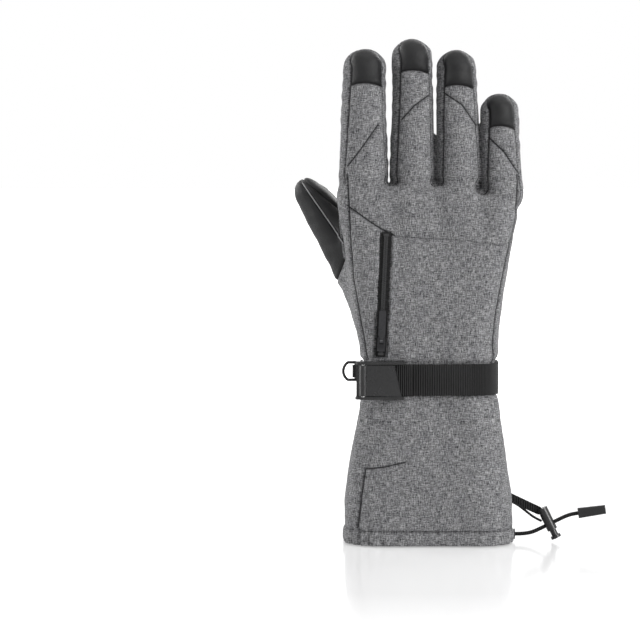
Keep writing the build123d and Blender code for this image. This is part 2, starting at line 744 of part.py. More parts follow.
def cord_parts():
    """The drawcord, its eyelet, lock, end and the tether that holds the lock to the cuff."""
    z = HEM_HEIGHT / 2
    hem = gauntlet_sections()[0]
    wall_x = hem.x + hem.width / 2 + HEM_BULGE
    hole_r = CORD_D / 2 + CORD_CLEARANCE
    along_x = Rot(0, 90, 0)
    low = (Align.CENTER, Align.CENTER, Align.MIN)
    barrel = Pos(wall_x - EYELET_LENGTH + 0.8, CORD_EXIT_Y, z) * along_x * Cylinder(
        EYELET_R, EYELET_LENGTH, align=low
    )
    flange = Pos(wall_x + 0.05, CORD_EXIT_Y, z) * along_x * Cylinder(EYELET_FLANGE_R, 0.75, align=low)
    bore = Pos(wall_x - 10, CORD_EXIT_Y, z) * along_x * Cylinder(hole_r, 30, align=low)
    eyelet = barrel + flange - bore
    plane = lock_plane()
    roof = LOCK_ABOVE - LOCK_ROOF
    shell = Pos(0, 0, -LOCK_BELOW) * Cylinder(LOCK_R, LOCK_ABOVE + LOCK_BELOW, align=low)
    well = Pos(0, 0, -LOCK_BELOW - 1) * Cylinder(LOCK_BORE_R, roof + LOCK_BELOW + 1, align=low)
    cord_way = along_x * Cylinder(hole_r, 20)
    body = shell - well - cord_way
    plunger_r = LOCK_BORE_R - RUNNING
    plunger_top = hole_r + BUTTON_TRAVEL / 2 + 1.2
    head = Pos(0, 0, -BUTTON_STEM - BUTTON_HEAD) * Cylinder(LOCK_R, BUTTON_HEAD, align=low)
    stem = Pos(0, 0, -BUTTON_STEM) * Cylinder(plunger_r, BUTTON_STEM + plunger_top, align=low)
    slot_low = along_x * Cylinder(hole_r, 20)
    slot_end = Pos(0, 0, -BUTTON_TRAVEL) * slot_low
    slot_middle = Pos(0, 0, -BUTTON_TRAVEL / 2) * Box(20, 2 * hole_r, BUTTON_TRAVEL)
    button = head + stem - slot_low - slot_end - slot_middle
    spring_low = plunger_top + BUTTON_TRAVEL + 0.3
    spring = Pos(0, 0, spring_low) * (
        Cylinder(plunger_r - 0.2, roof - spring_low, align=low)
        - Cylinder(plunger_r - 0.8, roof - spring_low, align=low)
    )
    pieces = {"cord_lock_body": body, "cord_lock_button": button, "cord_lock_spring": spring}
    placed = {k: plane.location * v for k, v in pieces.items()}
    placed["cord_eyelet"] = eyelet
    placed["hem_drawcord"] = hem_cord()
    placed["drawcord"] = tube(drawcord_route(), CORD_D, "drawcord")
    keeper = tube(keeper_route(), KEEPER_D, "keeper_cord")
    lock_room = plane.location * Pos(0, 0, -LOCK_BELOW) * Cylinder(
        LOCK_R + 0.05, LOCK_ABOVE + LOCK_BELOW, align=low
    )
    cuff = tube_body(gauntlet_sections(), -0.05)
    placed["keeper_cord"] = keeper - lock_room - cuff
    band = [(50.0, 32.6), (72.6, 21.9), (74.6, 17.4), (70.6, 17.2), (50.0, 26.4)]
    tether = prism(band, LOCK_CENTRE.Y + TETHER_SIDE, LOCK_CENTRE.Y + TETHER_SIDE + TETHER)
    placed["lock_tether"] = tether - lock_room - cuff
    end_face = Vector(*drawcord_route()[-1])
    heading = (end_face - Vector(*drawcord_route()[-2])).normalized()
    end_plane = Plane(origin=end_face, x_dir=Vector(0, -1, 0).cross(heading), z_dir=heading)
    near = Rectangle(CORD_END_HEIGHT, CORD_END)
    far = Pos(0, 0, CORD_END_LENGTH) * Rectangle(CORD_END_HEIGHT * 0.86, CORD_END * 0.8)
    cord_end = loft([near.face(), far.face()], ruled=True)
    cord_end = fillet(cord_end.edges().filter_by(Plane.XY, reverse=True), 1.0)
    placed["cord_end"] = end_plane.location * cord_end
    return placed


def write_parts(parts):
    """Write one STEP file for each node."""
    os.makedirs("parts", exist_ok=True)
    for name, shape in parts.items():
        solids = shape.solids()
        made = solids[0] if len(solids) == 1 else Compound(children=list(solids))
        export_step(made, f"parts/{name}.step")
        print(name, len(solids), round(sum(s.volume for s in solids), 1))


def main():
    stalls = [finger_stall(f) for f in FINGERS] + [thumb_stall()]
    spaces = [swept_space(stall) for stall in stalls]
    parts = {}
    for finger in FINGERS:
        parts.update(finger_parts(finger))
    parts.update(touch_patch(FINGERS[0]))
    parts.update(thumb_parts())
    parts.update(hand_parts(spaces))
    parts.update(grip_patches(spaces))
    parts.update(gauntlet_parts())
    parts.update(zip_parts())
    parts.update(strap_parts())
    parts.update(ring_parts())
    parts.update(cord_parts())
    write_parts(parts)


if __name__ == "__main__":
    main()
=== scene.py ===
"""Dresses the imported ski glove: soft shell panels, leather, zip, strap, buckle and drawcord."""

import json
import logging
import math
from dataclasses import dataclass, field
from enum import Enum
from typing import Callable

import bpy
import numpy as np
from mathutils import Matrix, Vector
from mathutils.bvhtree import BVHTree


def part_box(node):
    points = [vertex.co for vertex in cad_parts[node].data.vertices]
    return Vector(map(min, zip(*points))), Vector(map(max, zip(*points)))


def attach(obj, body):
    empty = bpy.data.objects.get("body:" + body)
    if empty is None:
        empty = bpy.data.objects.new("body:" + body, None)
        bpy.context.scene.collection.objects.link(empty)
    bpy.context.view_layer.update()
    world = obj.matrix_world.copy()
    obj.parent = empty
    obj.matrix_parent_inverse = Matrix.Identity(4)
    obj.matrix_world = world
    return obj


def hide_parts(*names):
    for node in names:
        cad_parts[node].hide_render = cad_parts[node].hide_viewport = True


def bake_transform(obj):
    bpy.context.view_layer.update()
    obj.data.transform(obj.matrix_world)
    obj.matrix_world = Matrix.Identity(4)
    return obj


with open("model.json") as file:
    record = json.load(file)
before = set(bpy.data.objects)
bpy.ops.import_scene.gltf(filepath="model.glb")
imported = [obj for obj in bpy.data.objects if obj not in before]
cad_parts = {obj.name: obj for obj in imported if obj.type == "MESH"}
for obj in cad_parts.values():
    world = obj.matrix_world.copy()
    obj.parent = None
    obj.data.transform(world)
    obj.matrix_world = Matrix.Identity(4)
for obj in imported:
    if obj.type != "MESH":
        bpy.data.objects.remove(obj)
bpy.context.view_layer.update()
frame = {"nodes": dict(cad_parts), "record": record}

LOG = logging.getLogger("ski_glove")
MM = 0.001
FINGER_NAMES = ("index", "middle", "ring", "little")
Array = np.ndarray


class Place(Enum):
    """What a finish's pattern follows: the cut cloth, or the piece itself."""

    SHELL = "shell"
    PIECE = "piece"


class Side(Enum):
    """Which face of the glove a line lies on."""

    BACK = -1
    PALM = 1


def joint(name: str) -> dict:
    """The record's joint of that name."""
    return next(j for j in frame["record"]["behaviour"]["joints"] if j["name"] == name)


def box_mm(node: str) -> tuple[Array, Array]:
    """The corners of a CAD node, in millimetres."""
    low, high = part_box(node)
    return np.array(low) / MM, np.array(high) / MM


def smoothstep(low: float, high: float, value: Array) -> Array:
    """Rises smoothly from 0 at low to 1 at high."""
    t = np.clip((value - low) / (high - low), 0.0, 1.0)
    return t * t * (3.0 - 2.0 * t)


def bump(value: Array, width: float) -> Array:
    """A bell curve of that width round 0."""
    return np.exp(-((value / width) ** 2))


def soft_min(a: Array, b: Array, blend: float) -> Array:
    """The smaller of two distances, rounded where they meet."""
    h = np.clip(0.5 + 0.5 * (b - a) / blend, 0.0, 1.0)
    return b * (1 - h) + a * h - blend * h * (1 - h)


def soft_max(a: Array, b: Array, blend: float) -> Array:
    """The larger of two distances, rounded where they meet."""
    return -soft_min(-a, -b, blend)


def ripple(p: Array, size: float, seed: int, waves: int = 7) -> Array:
    """Slow, repeatable unevenness between about -1 and 1.

    Args:
        p: points in millimetres.
        size: how far apart the bumps are, in millimetres.
        seed: picks the pattern.
        waves: how many waves are added up.
    """
    random = np.random.default_rng(seed)
    total = np.zeros(len(p))
    for _ in range(waves):
        heading = random.normal(size=3)
        heading /= np.linalg.norm(heading)
        pitch = size * random.uniform(0.7, 1.6)
        total += np.sin(p @ heading * (2 * math.pi / pitch) + random.uniform(0, 2 * math.pi))
    return total / waves ** 0.5 * 0.8


def line_distance(x: Array, z: Array, points: list[tuple[float, float]]) -> Array:
    """The distance in the X-Z plane from an open line through the points."""
    best = np.full(x.shape, 1e9)
    for (x0, z0), (x1, z1) in zip(points, points[1:]):
        dx, dz = x1 - x0, z1 - z0
        t = np.clip(((x - x0) * dx + (z - z0) * dz) / (dx * dx + dz * dz), 0.0, 1.0)
        best = np.minimum(best, np.hypot(x - x0 - t * dx, z - z0 - t * dz))
    return best


def line_side(x: Array, z: Array, points: list[tuple[float, float]]) -> Array:
    """The signed distance from a line in the X-Z plane: above 0 on its left."""
    best = np.full(x.shape, 1e9)
    for (x0, z0), (x1, z1) in zip(points, points[1:]):
        dx, dz = x1 - x0, z1 - z0
        length = math.hypot(dx, dz)
        t = np.clip(((x - x0) * dx + (z - z0) * dz) / length ** 2, 0.0, 1.0)
        away = np.hypot(x - x0 - t * dx, z - z0 - t * dz)
        cross = (dx * (z - z0) - dz * (x - x0)) / length
        signed = np.where(cross < 0, -away, away)
        best = np.where(away < np.abs(best), signed, best)
    return best


def outline_depth(x: Array, z: Array, points: list[tuple[float, float]]) -> Array:
    """How far inside a closed outline in the X-Z plane each point is; negative is outside."""
    closed = points + points[:1]
    inside = np.zeros(x.shape, dtype=bool)
    for (x0, z0), (x1, z1) in zip(closed, closed[1:]):
        crosses = (z0 > z) != (z1 > z)
        with np.errstate(divide="ignore", invalid="ignore"):
            at = (x1 - x0) * (z - z0) / (z1 - z0) + x0
        inside ^= crosses & (x < at)
    distance = line_distance(x, z, closed)
    return np.where(inside, distance, -distance)


@dataclass
class Stall:
    """One finger or the thumb, as a rounded cone in the glove's frame."""

    name: str
    foot: Array
    head: Array
    base: float
    tip: float

    @property
    def axis(self) -> Array:
        """The unit vector from the root to the tip."""
        way = self.head - self.foot
        return way / np.linalg.norm(way)

    @property
    def length(self) -> float:
        """The distance between the two balls."""
        return float(np.linalg.norm(self.head - self.foot))

    def along(self, p: Array) -> Array:
        """How far up the stall each point is."""
        return (p - self.foot) @ self.axis

    def distance(self, p: Array) -> Array:
        """The signed distance from the rounded cone."""
        rel = p - self.foot
        y = rel @ self.axis
        x = np.sqrt(np.maximum((rel * rel).sum(1) - y * y, 0.0))
        lean = (self.base - self.tip) / self.length
        rise = math.sqrt(1 - lean * lean)
        k = -lean * x + rise * y
        low = np.hypot(x, y) - self.base
        high = np.hypot(x, y - self.length) - self.tip
        cone = rise * x + lean * y - self.base
        return np.where(k < 0, low, np.where(k > rise * self.length, high, cone))


def finger_stall(name: str) -> Stall:
    """A finger's stall, worked out from its joint and its CAD pieces."""
    foot = np.array(joint(f"{name}_curl")["pos_m"]) / MM
    low, high = box_mm(f"{name}_cap")
    palm_low, palm_high = box_mm(f"{name}_gusset")
    tip = (high[0] - low[0]) / 2 + 0.7
    base = foot[0] - palm_low[0]
    head = np.array([(low[0] + high[0]) / 2, 0.0, palm_high[2] - tip])
    return Stall(name, foot, head, float(base), float(tip))


@dataclass
class GloveForm:
    """The glove's outer shape as a signed distance, in millimetres."""

    station_z: tuple = (-6, 9.5, 28, 51, 68, 88, 100, 112, 124, 138, 200, 219, 245)
    centre_x: tuple = (0.4, 0.4, 0.4, 0.5, 0.6, 0.7, 0.8, 0.8, 0.8, -0.8, -0.3, 0.6, 0.75)
    half_width: tuple = (52.6, 53.2, 53.0, 50.0, 47.3, 43.4, 42.0, 41.6, 43.2, 46.2, 54.4, 58.4, 59.6)
    back: tuple = (-35, -35, -34.8, -32.3, -30.1, -26.7, -25.6, -25.2, -25.5, -24.9, -22, -19, -17.0)
    palm: tuple = (35, 35, 34.8, 32.3, 30.1, 26.7, 25.4, 25.2, 26.4, 27.5, 23.5, 19.5, 17.0)
    corner: tuple = (25, 25, 25, 23, 21, 19, 18, 18, 18.5, 19, 18, 17, 16)
    top_bend: tuple = ((-70, 229), (24, 229), (40, 222), (62, 211))
    thumb_web: float = 7.0
    finger_web: float = 4.0
    thumb_nose: tuple = (-76.6, 26.0, 224.8)
    thumb_nose_radius: float = 7.6
    thumb_slope: tuple = (-78.0, 234.3, 0.582, 0.811)
    fingers: list[Stall] = field(default_factory=lambda: [finger_stall(n) for n in FINGER_NAMES])
    thumb: Stall = field(default_factory=lambda: GloveForm.thumb_stall())

    @staticmethod
    def thumb_stall() -> Stall:
        """The thumb's stall, from its joint and the corners of its CAD leather."""
        foot = np.array(joint("thumb_swing")["pos_m"]) / MM
        low, high = box_mm("thumb_leather")
        tip = 12.0
        head = np.array([low[0] + tip, foot[1] + 12.0, high[2] - tip])
        return Stall("thumb", foot, head, 16.5, tip)

    def profile(self, z: Array, values: tuple) -> Array:
        """A station value at each height, eased between stations."""
        levels = np.arange(-12.0, 250.0, 1.0)
        raw = np.interp(levels, self.station_z, values)
        window = np.hanning(13)
        eased = np.convolve(np.pad(raw, 6, mode="edge"), window / window.sum(), mode="valid")
        return np.interp(z, levels, eased)

    def body_distance(self, p: Array) -> Array:
        """The signed distance from the hand and cuff alone."""
        x, y, z = p.T
        back = self.profile(z, self.back)
        palm = self.profile(z, self.palm)
        corner = self.profile(z, self.corner)
        qx = np.abs(x - self.profile(z, self.centre_x)) - (self.profile(z, self.half_width) - corner)
        qy = np.abs(y - (back + palm) / 2) - ((palm - back) / 2 - corner)
        wall = np.hypot(np.maximum(qx, 0), np.maximum(qy, 0)) + np.minimum(np.maximum(qx, qy), 0)
        top = np.interp(x, *zip(*self.top_bend))
        return soft_max(wall - corner, z - top, 9.0)

    def finger_distance(self, p: Array) -> Array:
        """The signed distance from the four fingers together."""
        nearest = self.fingers[0].distance(p)
        for stall in self.fingers[1:]:
            nearest = soft_min(nearest, stall.distance(p), 0.8)
        return nearest

    def thumb_distance(self, p: Array) -> Array:
        """The signed distance from the thumb: a cone with a blunt nose and a sloping end."""
        nose = np.linalg.norm(p - np.array(self.thumb_nose), axis=1) - self.thumb_nose_radius
        x0, z0, nx, nz = self.thumb_slope
        slope = (p[:, 0] - x0) * nx + (p[:, 2] - z0) * nz
        return soft_max(soft_min(self.thumb.distance(p), nose, 5.0), slope, 4.0)

    def distance(self, p: Array) -> Array:
        """The signed distance from the whole glove."""
        body = soft_min(self.body_distance(p), self.thumb_distance(p), self.thumb_web)
        return soft_min(body, self.finger_distance(p), self.finger_web)

    def normal(self, p: Array) -> Array:
        """The outward direction at each point."""
        step = 0.35
        grads = [
            self.distance(p + np.eye(3)[i] * step) - self.distance(p - np.eye(3)[i] * step)
            for i in range(3)
        ]
        n = np.stack(grads, axis=1)
        return n / np.maximum(np.linalg.norm(n, axis=1, keepdims=True), 1e-9)


@dataclass
class Skinner:
    """Turns a signed distance into a closed net of triangles."""

    step: float = 1.3
    relax_rounds: int = 3

    def net(self, form: GloveForm) -> tuple[Array, Array]:
        """Points and triangles on the form's surface.

        Returns:
            The points (N x 3) and triangles (M x 3), facing outwards.
        """
        low = np.array([-90.0, -46.0, -4.0])
        high = np.array([70.0, 50.0, 328.0])
        counts = np.ceil((high - low) / self.step).astype(int) + 1
        axes = [low[i] + np.arange(counts[i]) * self.step for i in range(3)]
        values = np.empty(counts, dtype=np.float32)
        ys, zs = np.meshgrid(axes[1], axes[2], indexing="ij")
        for i, x in enumerate(axes[0]):
            row = np.stack([np.full(ys.size, x), ys.ravel(), zs.ravel()], axis=1)
            values[i] = form.distance(row).reshape(ys.shape)
        inside = values < 0
        corners = [(i, j, k) for i in (0, 1) for j in (0, 1) for k in (0, 1)]
        cells = tuple(c - 1 for c in counts)

        def corner_view(grid: Array, c: tuple) -> Array:
            return grid[c[0]:c[0] + cells[0], c[1]:c[1] + cells[1], c[2]:c[2] + cells[2]]

        held = sum(corner_view(inside, c).astype(np.int8) for c in corners)
        mixed = (held > 0) & (held < 8)
        index = np.full(cells, -1, dtype=np.int64)
        index[mixed] = np.arange(int(mixed.sum()))
        total = np.zeros((int(mixed.sum()), 3))
        count = np.zeros(int(mixed.sum()))
        for a in corners:
            for axis in range(3):
                if a[axis] == 1:
                    continue
                b = tuple(1 if i == axis else a[i] for i in range(3))
                va = corner_view(values, a)[mixed].astype(float)
                vb = corner_view(values, b)[mixed].astype(float)
                cross = (va < 0) != (vb < 0)
                t = np.where(cross, va / np.where(cross, va - vb, 1.0), 0.0)
                place = np.array(a, dtype=float) + np.zeros((len(t), 3))
                place[:, axis] += t
                total += place * cross[:, None]
                count += cross
        cell = np.argwhere(mixed)
        points = low + (cell + total / count[:, None]) * self.step
        quads = []
        for axis in range(3):
            u, v = (axis + 1) % 3, (axis + 2) % 3
            first = np.take(inside, range(counts[axis] - 1), axis=axis)
            second = np.take(inside, range(1, counts[axis]), axis=axis)
            edge = first != second
            where = np.argwhere(edge)
            ok = (where[:, u] > 0) & (where[:, v] > 0)
            ok &= (where[:, u] < cells[u]) & (where[:, v] < cells[v])
            where = where[ok]
            outward = first[tuple(where.T)]
            around = []
            for du, dv in ((-1, -1), (0, -1), (0, 0), (-1, 0)):
                at = where.copy()
                at[:, u] += du
                at[:, v] += dv
                around.append(index[tuple(at.T)])
            quad = np.stack(around, axis=1)
            quad[~outward] = quad[~outward][:, ::-1]
            quads.append(quad)
        quads = np.concatenate(quads)
        quads = quads[(quads >= 0).all(1)]
        tris = np.concatenate([quads[:, [0, 1, 2]], quads[:, [0, 2, 3]]])
        for _ in range(self.relax_rounds):
            points = self.relax(points, tris)
            points = points - form.normal(points) * form.distance(points)[:, None]
        return points, tris

    @staticmethod
    def relax(points: Array, tris: Array) -> Array:
        """Evens out the spacing of the points."""
        total = np.zeros_like(points)
        count = np.zeros(len(points))
        for a, b in ((0, 1), (1, 2), (2, 0)):
            for i, j in ((a, b), (b, a)):
                np.add.at(total, tris[:, i], points[tris[:, j]])
                np.add.at(count, tris[:, i], 1)
        mean = total / np.maximum(count, 1)[:, None]
        return points + (mean - points) * 0.5


def cut(points: Array, tris: Array, values: Array, near: float = 1e6) -> tuple[Array, Array]:
    """Splits the triangles that a field's zero line crosses, along that line.

    Args:
        points: the net's points.
        tris: its triangles.
        values: the field at each point.
        near: an edge is split only where both its ends are this near to the line.

    Returns:
        The net's points with the new ones after them, and its triangles.
    """
    values = np.where(np.abs(values) < 0.02, np.where(values < 0, -0.02, 0.02), values)
    ends = np.sort(np.stack([tris, np.roll(tris, -1, axis=1)], axis=2).reshape(-1, 2), axis=1)
    keys, where = np.unique(ends[:, 0] * len(points) + ends[:, 1], return_inverse=True)
    low, high = keys // len(points), keys % len(points)
    crossed = (values[low] > 0) != (values[high] > 0)
    crossed &= np.maximum(np.abs(values[low]), np.abs(values[high])) < near
    share = (values[low] / (values[low] - values[high] + ~crossed))[crossed][:, None]
    made = points[low[crossed]] * (1 - share) + points[high[crossed]] * share
    middles = (len(points) + np.cumsum(crossed) - 1)[where.ravel()].reshape(-1, 3)
    split = crossed[where.ravel()].reshape(-1, 3)
    new = [tris[~split.any(1)]]
    for count in (1, 2):
        chosen = split.sum(1) == count
        first = split[chosen].argmax(1) if count == 1 else (~split[chosen]).argmax(1) + 2
        order = (first[:, None] + np.arange(3)) % 3
        a, b, c = np.take_along_axis(tris[chosen], order, axis=1).T
        ab, _, ca = np.take_along_axis(middles[chosen], order, axis=1).T
        if count == 1:
            new += [np.stack([a, ab, c], 1), np.stack([ab, b, c], 1)]
        else:
            new += [np.stack([a, ab, ca], 1), np.stack([ab, b, c], 1), np.stack([ab, c, ca], 1)]
    return np.concatenate([points, made]), np.concatenate(new)


@dataclass
class Pattern:
    """Where the glove's panels, seams and folds lie, in millimetres."""

    form: GloveForm
    palm_side: float = 8.5
    hem_line: float = 9.8
    wrist_z: float = 105.0
    knuckle_seam: list = field(default_factory=lambda: [
        (-52, 216.2), (-41, 208.5), (-30.9, 201.9), (-21.1, 196.9), (-8, 195.8), (25.5, 194),
        (44.2, 190.8), (54, 192.6)])
    left_seam: list = field(default_factory=lambda: [
        (-50.5, 300), (-51.5, 262), (-51.8, 236), (-50.6, 215), (-50.2, 192), (-48.6, 170),
        (-44.6, 150), (-42.2, 136), (-38.5, 118)])
    right_seam: list = field(default_factory=lambda: [
        (56.5, 262), (57.0, 232), (55.5, 210), (51.0, 185), (47.2, 165), (43.6, 148), (40.6, 130),
        (40, 116)])
    finger_seams: list = field(default_factory=lambda: [
        [(-31.4, 267.3), (-51.7, 241.2)],
        [(0.6, 285.6), (-9, 279.5), (-18.2, 270.5)],
        [(8.9, 287.5), (21, 280), (31.3, 267)],
        [(37.3, 259.1), (48, 250), (58.1, 236.4)]])
    cuff_seam: list = field(default_factory=lambda: [
        (-15.2, 54), (-28, 51), (-40.5, 49.3), (-43.0, 31.5), (-45.5, 11.8)])
    palm_outline: list = field(default_factory=lambda: [
        (80, 400), (80, 150), (46, 137), (42.5, 130), (36, 125), (30, 121), (20, 118.6), (11, 117.6),
        (-8, 119), (-21.4, 122), (-31.4, 124.7), (-28.6, 129), (-25.3, 134), (-22.3, 141),
        (-19.6, 149), (-18.2, 158), (-17.8, 167), (-19.6, 176), (-23.5, 183), (-28.8, 189),
        (-35, 195.6), (-41.8, 202), (-50, 208.5), (-80, 232), (-80, 400)])
    knuckle_patch: list = field(default_factory=lambda: [
        (43, 211), (44, 196), (40.5, 184), (35, 175), (32, 180.6), (32.6, 191), (32.3, 199.6),
        (28.5, 203), (15, 206), (-12, 207.6), (-41, 209.6), (-41.2, 215), (-37.5, 221), (-31.5, 224),
        (-24, 222), (-16, 224.5), (-8.5, 224.6), (-1, 219), (5, 216.5), (12, 218.5), (20, 217.8),
        (28, 215), (36, 213.5)])
    crescent_patch: list = field(default_factory=lambda: [
        (25.5, 188.2), (4, 190.6), (-16.5, 193.8), (-16.2, 191), (-8, 184), (-2, 180.3), (3, 179),
        (9, 180.4), (16, 183.6)])
    heel_patch: list = field(default_factory=lambda: [
        (31.4, 169.6), (34.4, 167.6), (34.6, 162), (31, 150), (26.6, 141), (20, 136.6), (12, 134.4),
        (3.7, 134.2), (0.6, 138), (0.6, 145.2), (4, 148.4), (12, 150.6), (18.5, 154.6), (24, 160)])
    touch_patch: list = field(default_factory=lambda: [
        (-52.6, 271.5), (-52.2, 300), (-28.6, 300), (-28.6, 271.5)])

    def finger_level(self, p: Array) -> Array:
        """Above 0 on the fingers, below 0 on the hand."""
        level = np.interp(p[:, 0], [24, 35], [232.0, 221.5])
        return np.minimum(p[:, 2] - level, p[:, 0] + 63.0)

    def thumb_level(self, p: Array) -> Array:
        """Above 0 on the thumb, below 0 on the hand."""
        nearer = self.form.body_distance(p) - self.form.thumb_distance(p)
        return np.minimum(self.form.thumb.along(p) - 10.0, nearer - 1.0)

    def nearest_finger(self, p: Array) -> Array:
        """The number of the finger that each point is nearest to."""
        return np.argmin([s.distance(p) for s in self.form.fingers], axis=0)

    def tip_share(self, p: Array) -> Array:
        """0 along a finger and 1 at the end of its tip."""
        nearest = self.nearest_finger(p)
        share = np.zeros(len(p))
        for i, stall in enumerate(self.form.fingers):
            beyond = (stall.along(p) - stall.length) / stall.tip
            share = np.where(nearest == i, smoothstep(0.0, 1.0, beyond), share)
        return share

    def palm_level(self, p: Array) -> Array:
        """Above 0 on the palm's leather and the leather fronts of the fingers."""
        edge = self.palm_side + (1.6 - self.palm_side) * self.tip_share(p)
        return np.minimum(p[:, 1] - edge, outline_depth(p[:, 0], p[:, 2], self.palm_outline))

    def back_edge(self, p: Array) -> Array:
        """How far behind the middle each finger's back seam lies: further on its thumb side."""
        nearest = self.nearest_finger(p)
        across = np.zeros(len(p))
        for i, stall in enumerate(self.form.fingers):
            middle = stall.foot[0] + stall.axis[0] * stall.along(p)
            across = np.where(nearest == i, (p[:, 0] - middle) / stall.tip, across)
        side = smoothstep(-0.6, 0.6, across)
        edge = 9.3 * (1 - side) + 6.0 * side
        return edge + (2.0 - edge) * self.tip_share(p)

    def cap_level(self, p: Array) -> Array:
        """Above 0 on the leather caps over the fingertips."""
        nearest = self.nearest_finger(p)
        height = np.full(len(p), -1e3)
        for i, stall in enumerate(self.form.fingers):
            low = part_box(f"{stall.name}_cap")[0][2] / MM
            middle = stall.foot[0] + stall.axis[0] * stall.along(p)
            sag = 3.0 * ((p[:, 0] - middle) / stall.tip) ** 2
            height = np.where(nearest == i, p[:, 2] - (low + 2.0 - sag), height)
        return np.minimum(height, -p[:, 1] - self.back_edge(p))

    def thumb_frame(self, p: Array) -> tuple[Array, Array, Array]:
        """Each point's place on the thumb: along it, across it and towards the palm."""
        stall = self.form.thumb
        along = stall.along(p)
        rel = p - stall.foot - along[:, None] * stall.axis
        across = np.cross(np.array([0.0, 1.0, 0.0]), stall.axis)
        across /= np.linalg.norm(across)
        forward = np.cross(stall.axis, across)
        return along, rel @ across, rel @ forward

    def thumb_leather_level(self, p: Array) -> Array:
        """Above 0 on the thumb's leather: all of its back, and the outer part of its palm side."""
        along, across, forward = self.thumb_frame(p)
        low_edge = along - 42.4 - 0.81 * across
        strip = 4.5 - across + 40.0 * smoothstep(2.0, -4.0, forward)
        return np.minimum(low_edge, np.minimum(strip, self.thumb_level(p) + 2.0))

    def thumb_piping_level(self, p: Array) -> Array:
        """0 on the piped seam down the back of the thumb."""
        along, across, forward = self.thumb_frame(p)
        return np.where(forward < 0.0, across - 0.6 + 0.0863 * (along - 49.3), 50.0)

    def back_lines(self) -> list[list[tuple[float, float]]]:
        """Every seam that is drawn as a line on the back."""
        return [self.knuckle_seam[:4], self.knuckle_seam[3:], self.left_seam, self.right_seam,
                self.cuff_seam] + self.finger_seams

    def levels(self) -> list[Callable[[Array], Array]]:
        """The fields whose zero lines the panels meet along."""
        return [
            lambda p: p[:, 2] - 0.9,
            self.finger_level,
            self.thumb_level,
            self.palm_level,
            self.cap_level,
            self.thumb_leather_level,
            lambda p: p[:, 2] - self.wrist_z,
            lambda p: p[:, 2] - self.hem_line,
        ]

    def lines(self) -> list[Callable[[Array], Array]]:
        """The fields whose zero lines are seams inside a panel or along its edge."""
        on_back = [
            lambda p, line=line: np.where(p[:, 1] < -2, line_side(p[:, 0], p[:, 2], line), 50.0)
            for line in self.back_lines()
        ]
        on_finger = [
            lambda p: np.where(self.finger_level(p) > -3, p[:, 1] + self.back_edge(p), 50.0),
            lambda p: np.where(self.finger_level(p) > 0, self.cap_level(p), 50.0),
            self.thumb_piping_level,
            self.palm_level,
        ]
        return on_back + on_finger

    def seams(self, p: Array) -> Array:
        """The distance from the nearest full-depth seam."""
        x, y, z = p.T
        finger = self.finger_level(p)
        thumb = self.thumb_level(p)
        away = np.full(len(p), 50.0)
        back = (y < -2.0) & (thumb < 1)
        low = back & (z < 236)
        found = [
            np.where(back, line_distance(x, z, self.knuckle_seam[:4]), away),
            np.where(low, line_distance(x, z, self.left_seam), away),
            np.where(low, line_distance(x, z, self.right_seam), away),
            np.where(back, line_distance(x, z, self.cuff_seam), away),
            np.where(finger > -3, np.abs(y + self.back_edge(p)), away),
            np.abs(self.palm_level(p)),
            np.where(finger > 0, np.abs(self.cap_level(p)), away),
            np.where((z < 100) & (z > 11), np.abs(y), away),
            np.where(thumb > -4, np.abs(self.thumb_leather_level(p)), away),
            np.where(thumb > 2, np.abs(self.thumb_piping_level(p)), away),
        ]
        found += [np.where(back, line_distance(x, z, s), away) for s in self.finger_seams]
        return np.min(found, axis=0)

    def faint_seams(self, p: Array) -> Array:
        """The distance from the nearest shallow, topstitched seam."""
        x, y, z = p.T
        knuckle = np.where(y < -2.0, line_distance(x, z, self.knuckle_seam[3:]), 50.0)
        return np.minimum(knuckle, np.abs(z - self.hem_line))

    def patch_depth(self, p: Array) -> Array:
        """How far inside a raised grip patch each point is."""
        x, y, z = p.T
        shapes = (self.knuckle_patch, self.crescent_patch, self.heel_patch, self.touch_patch)
        depth = np.max([outline_depth(x, z, s) for s in shapes], axis=0)
        return np.where(self.palm_level(p) > 0, depth, -50.0)

    def zip_place(self, p: Array) -> tuple[Array, Array]:
        """Each point's distance across the zip's line and its height on it."""
        low, high = box_mm("zip_tape")
        foot = (low[0] + 3.3, low[2])
        head = (high[0] - 3.3, high[2])
        rise = (head[0] - foot[0]) / (head[1] - foot[1])
        return p[:, 0] - foot[0] - rise * (p[:, 2] - foot[1]), p[:, 2]

    def around(self, p: Array) -> Array:
        """The angle round the cuff."""
        return np.arctan2(p[:, 1] / 27.0, (p[:, 0] - 0.8) / 43.0)

    def wrist_folds(self, p: Array) -> Array:
        """The gathers above and below the wrist, strongest on the palm side."""
        y, z = p[:, 1], p[:, 2]
        turn = self.around(p)
        on_palm = smoothstep(-6.0, 12.0, y)
        reach = z - self.wrist_z
        wide = bump(reach, 27.0)
        near = bump(reach, 15.0)
        fold = np.sin(turn * 15 + 0.9 * np.sin(turn * 4 + 1) + reach * 0.02)
        fan = np.sin(turn * 9 + 1.3 * np.sin(turn * 3 + 2) + reach * 0.012)
        crease = np.abs(np.sin(turn * 13.5 + 0.5 * np.sin(turn * 7 + z * 0.05))) ** 0.6 - 0.6
        height = near * fold * (0.55 + 0.65 * on_palm) + wide * fan * (0.75 - 0.2 * on_palm)
        height += near * crease * (0.7 + 1.4 * on_palm)
        height *= 1.5
        height -= on_palm * (1.7 * bump(reach, 3.2) + 1.1 * near)
        swell = bump(np.abs(reach) - 16.5, 5.0)
        return height + 0.7 * swell * (1 - on_palm)

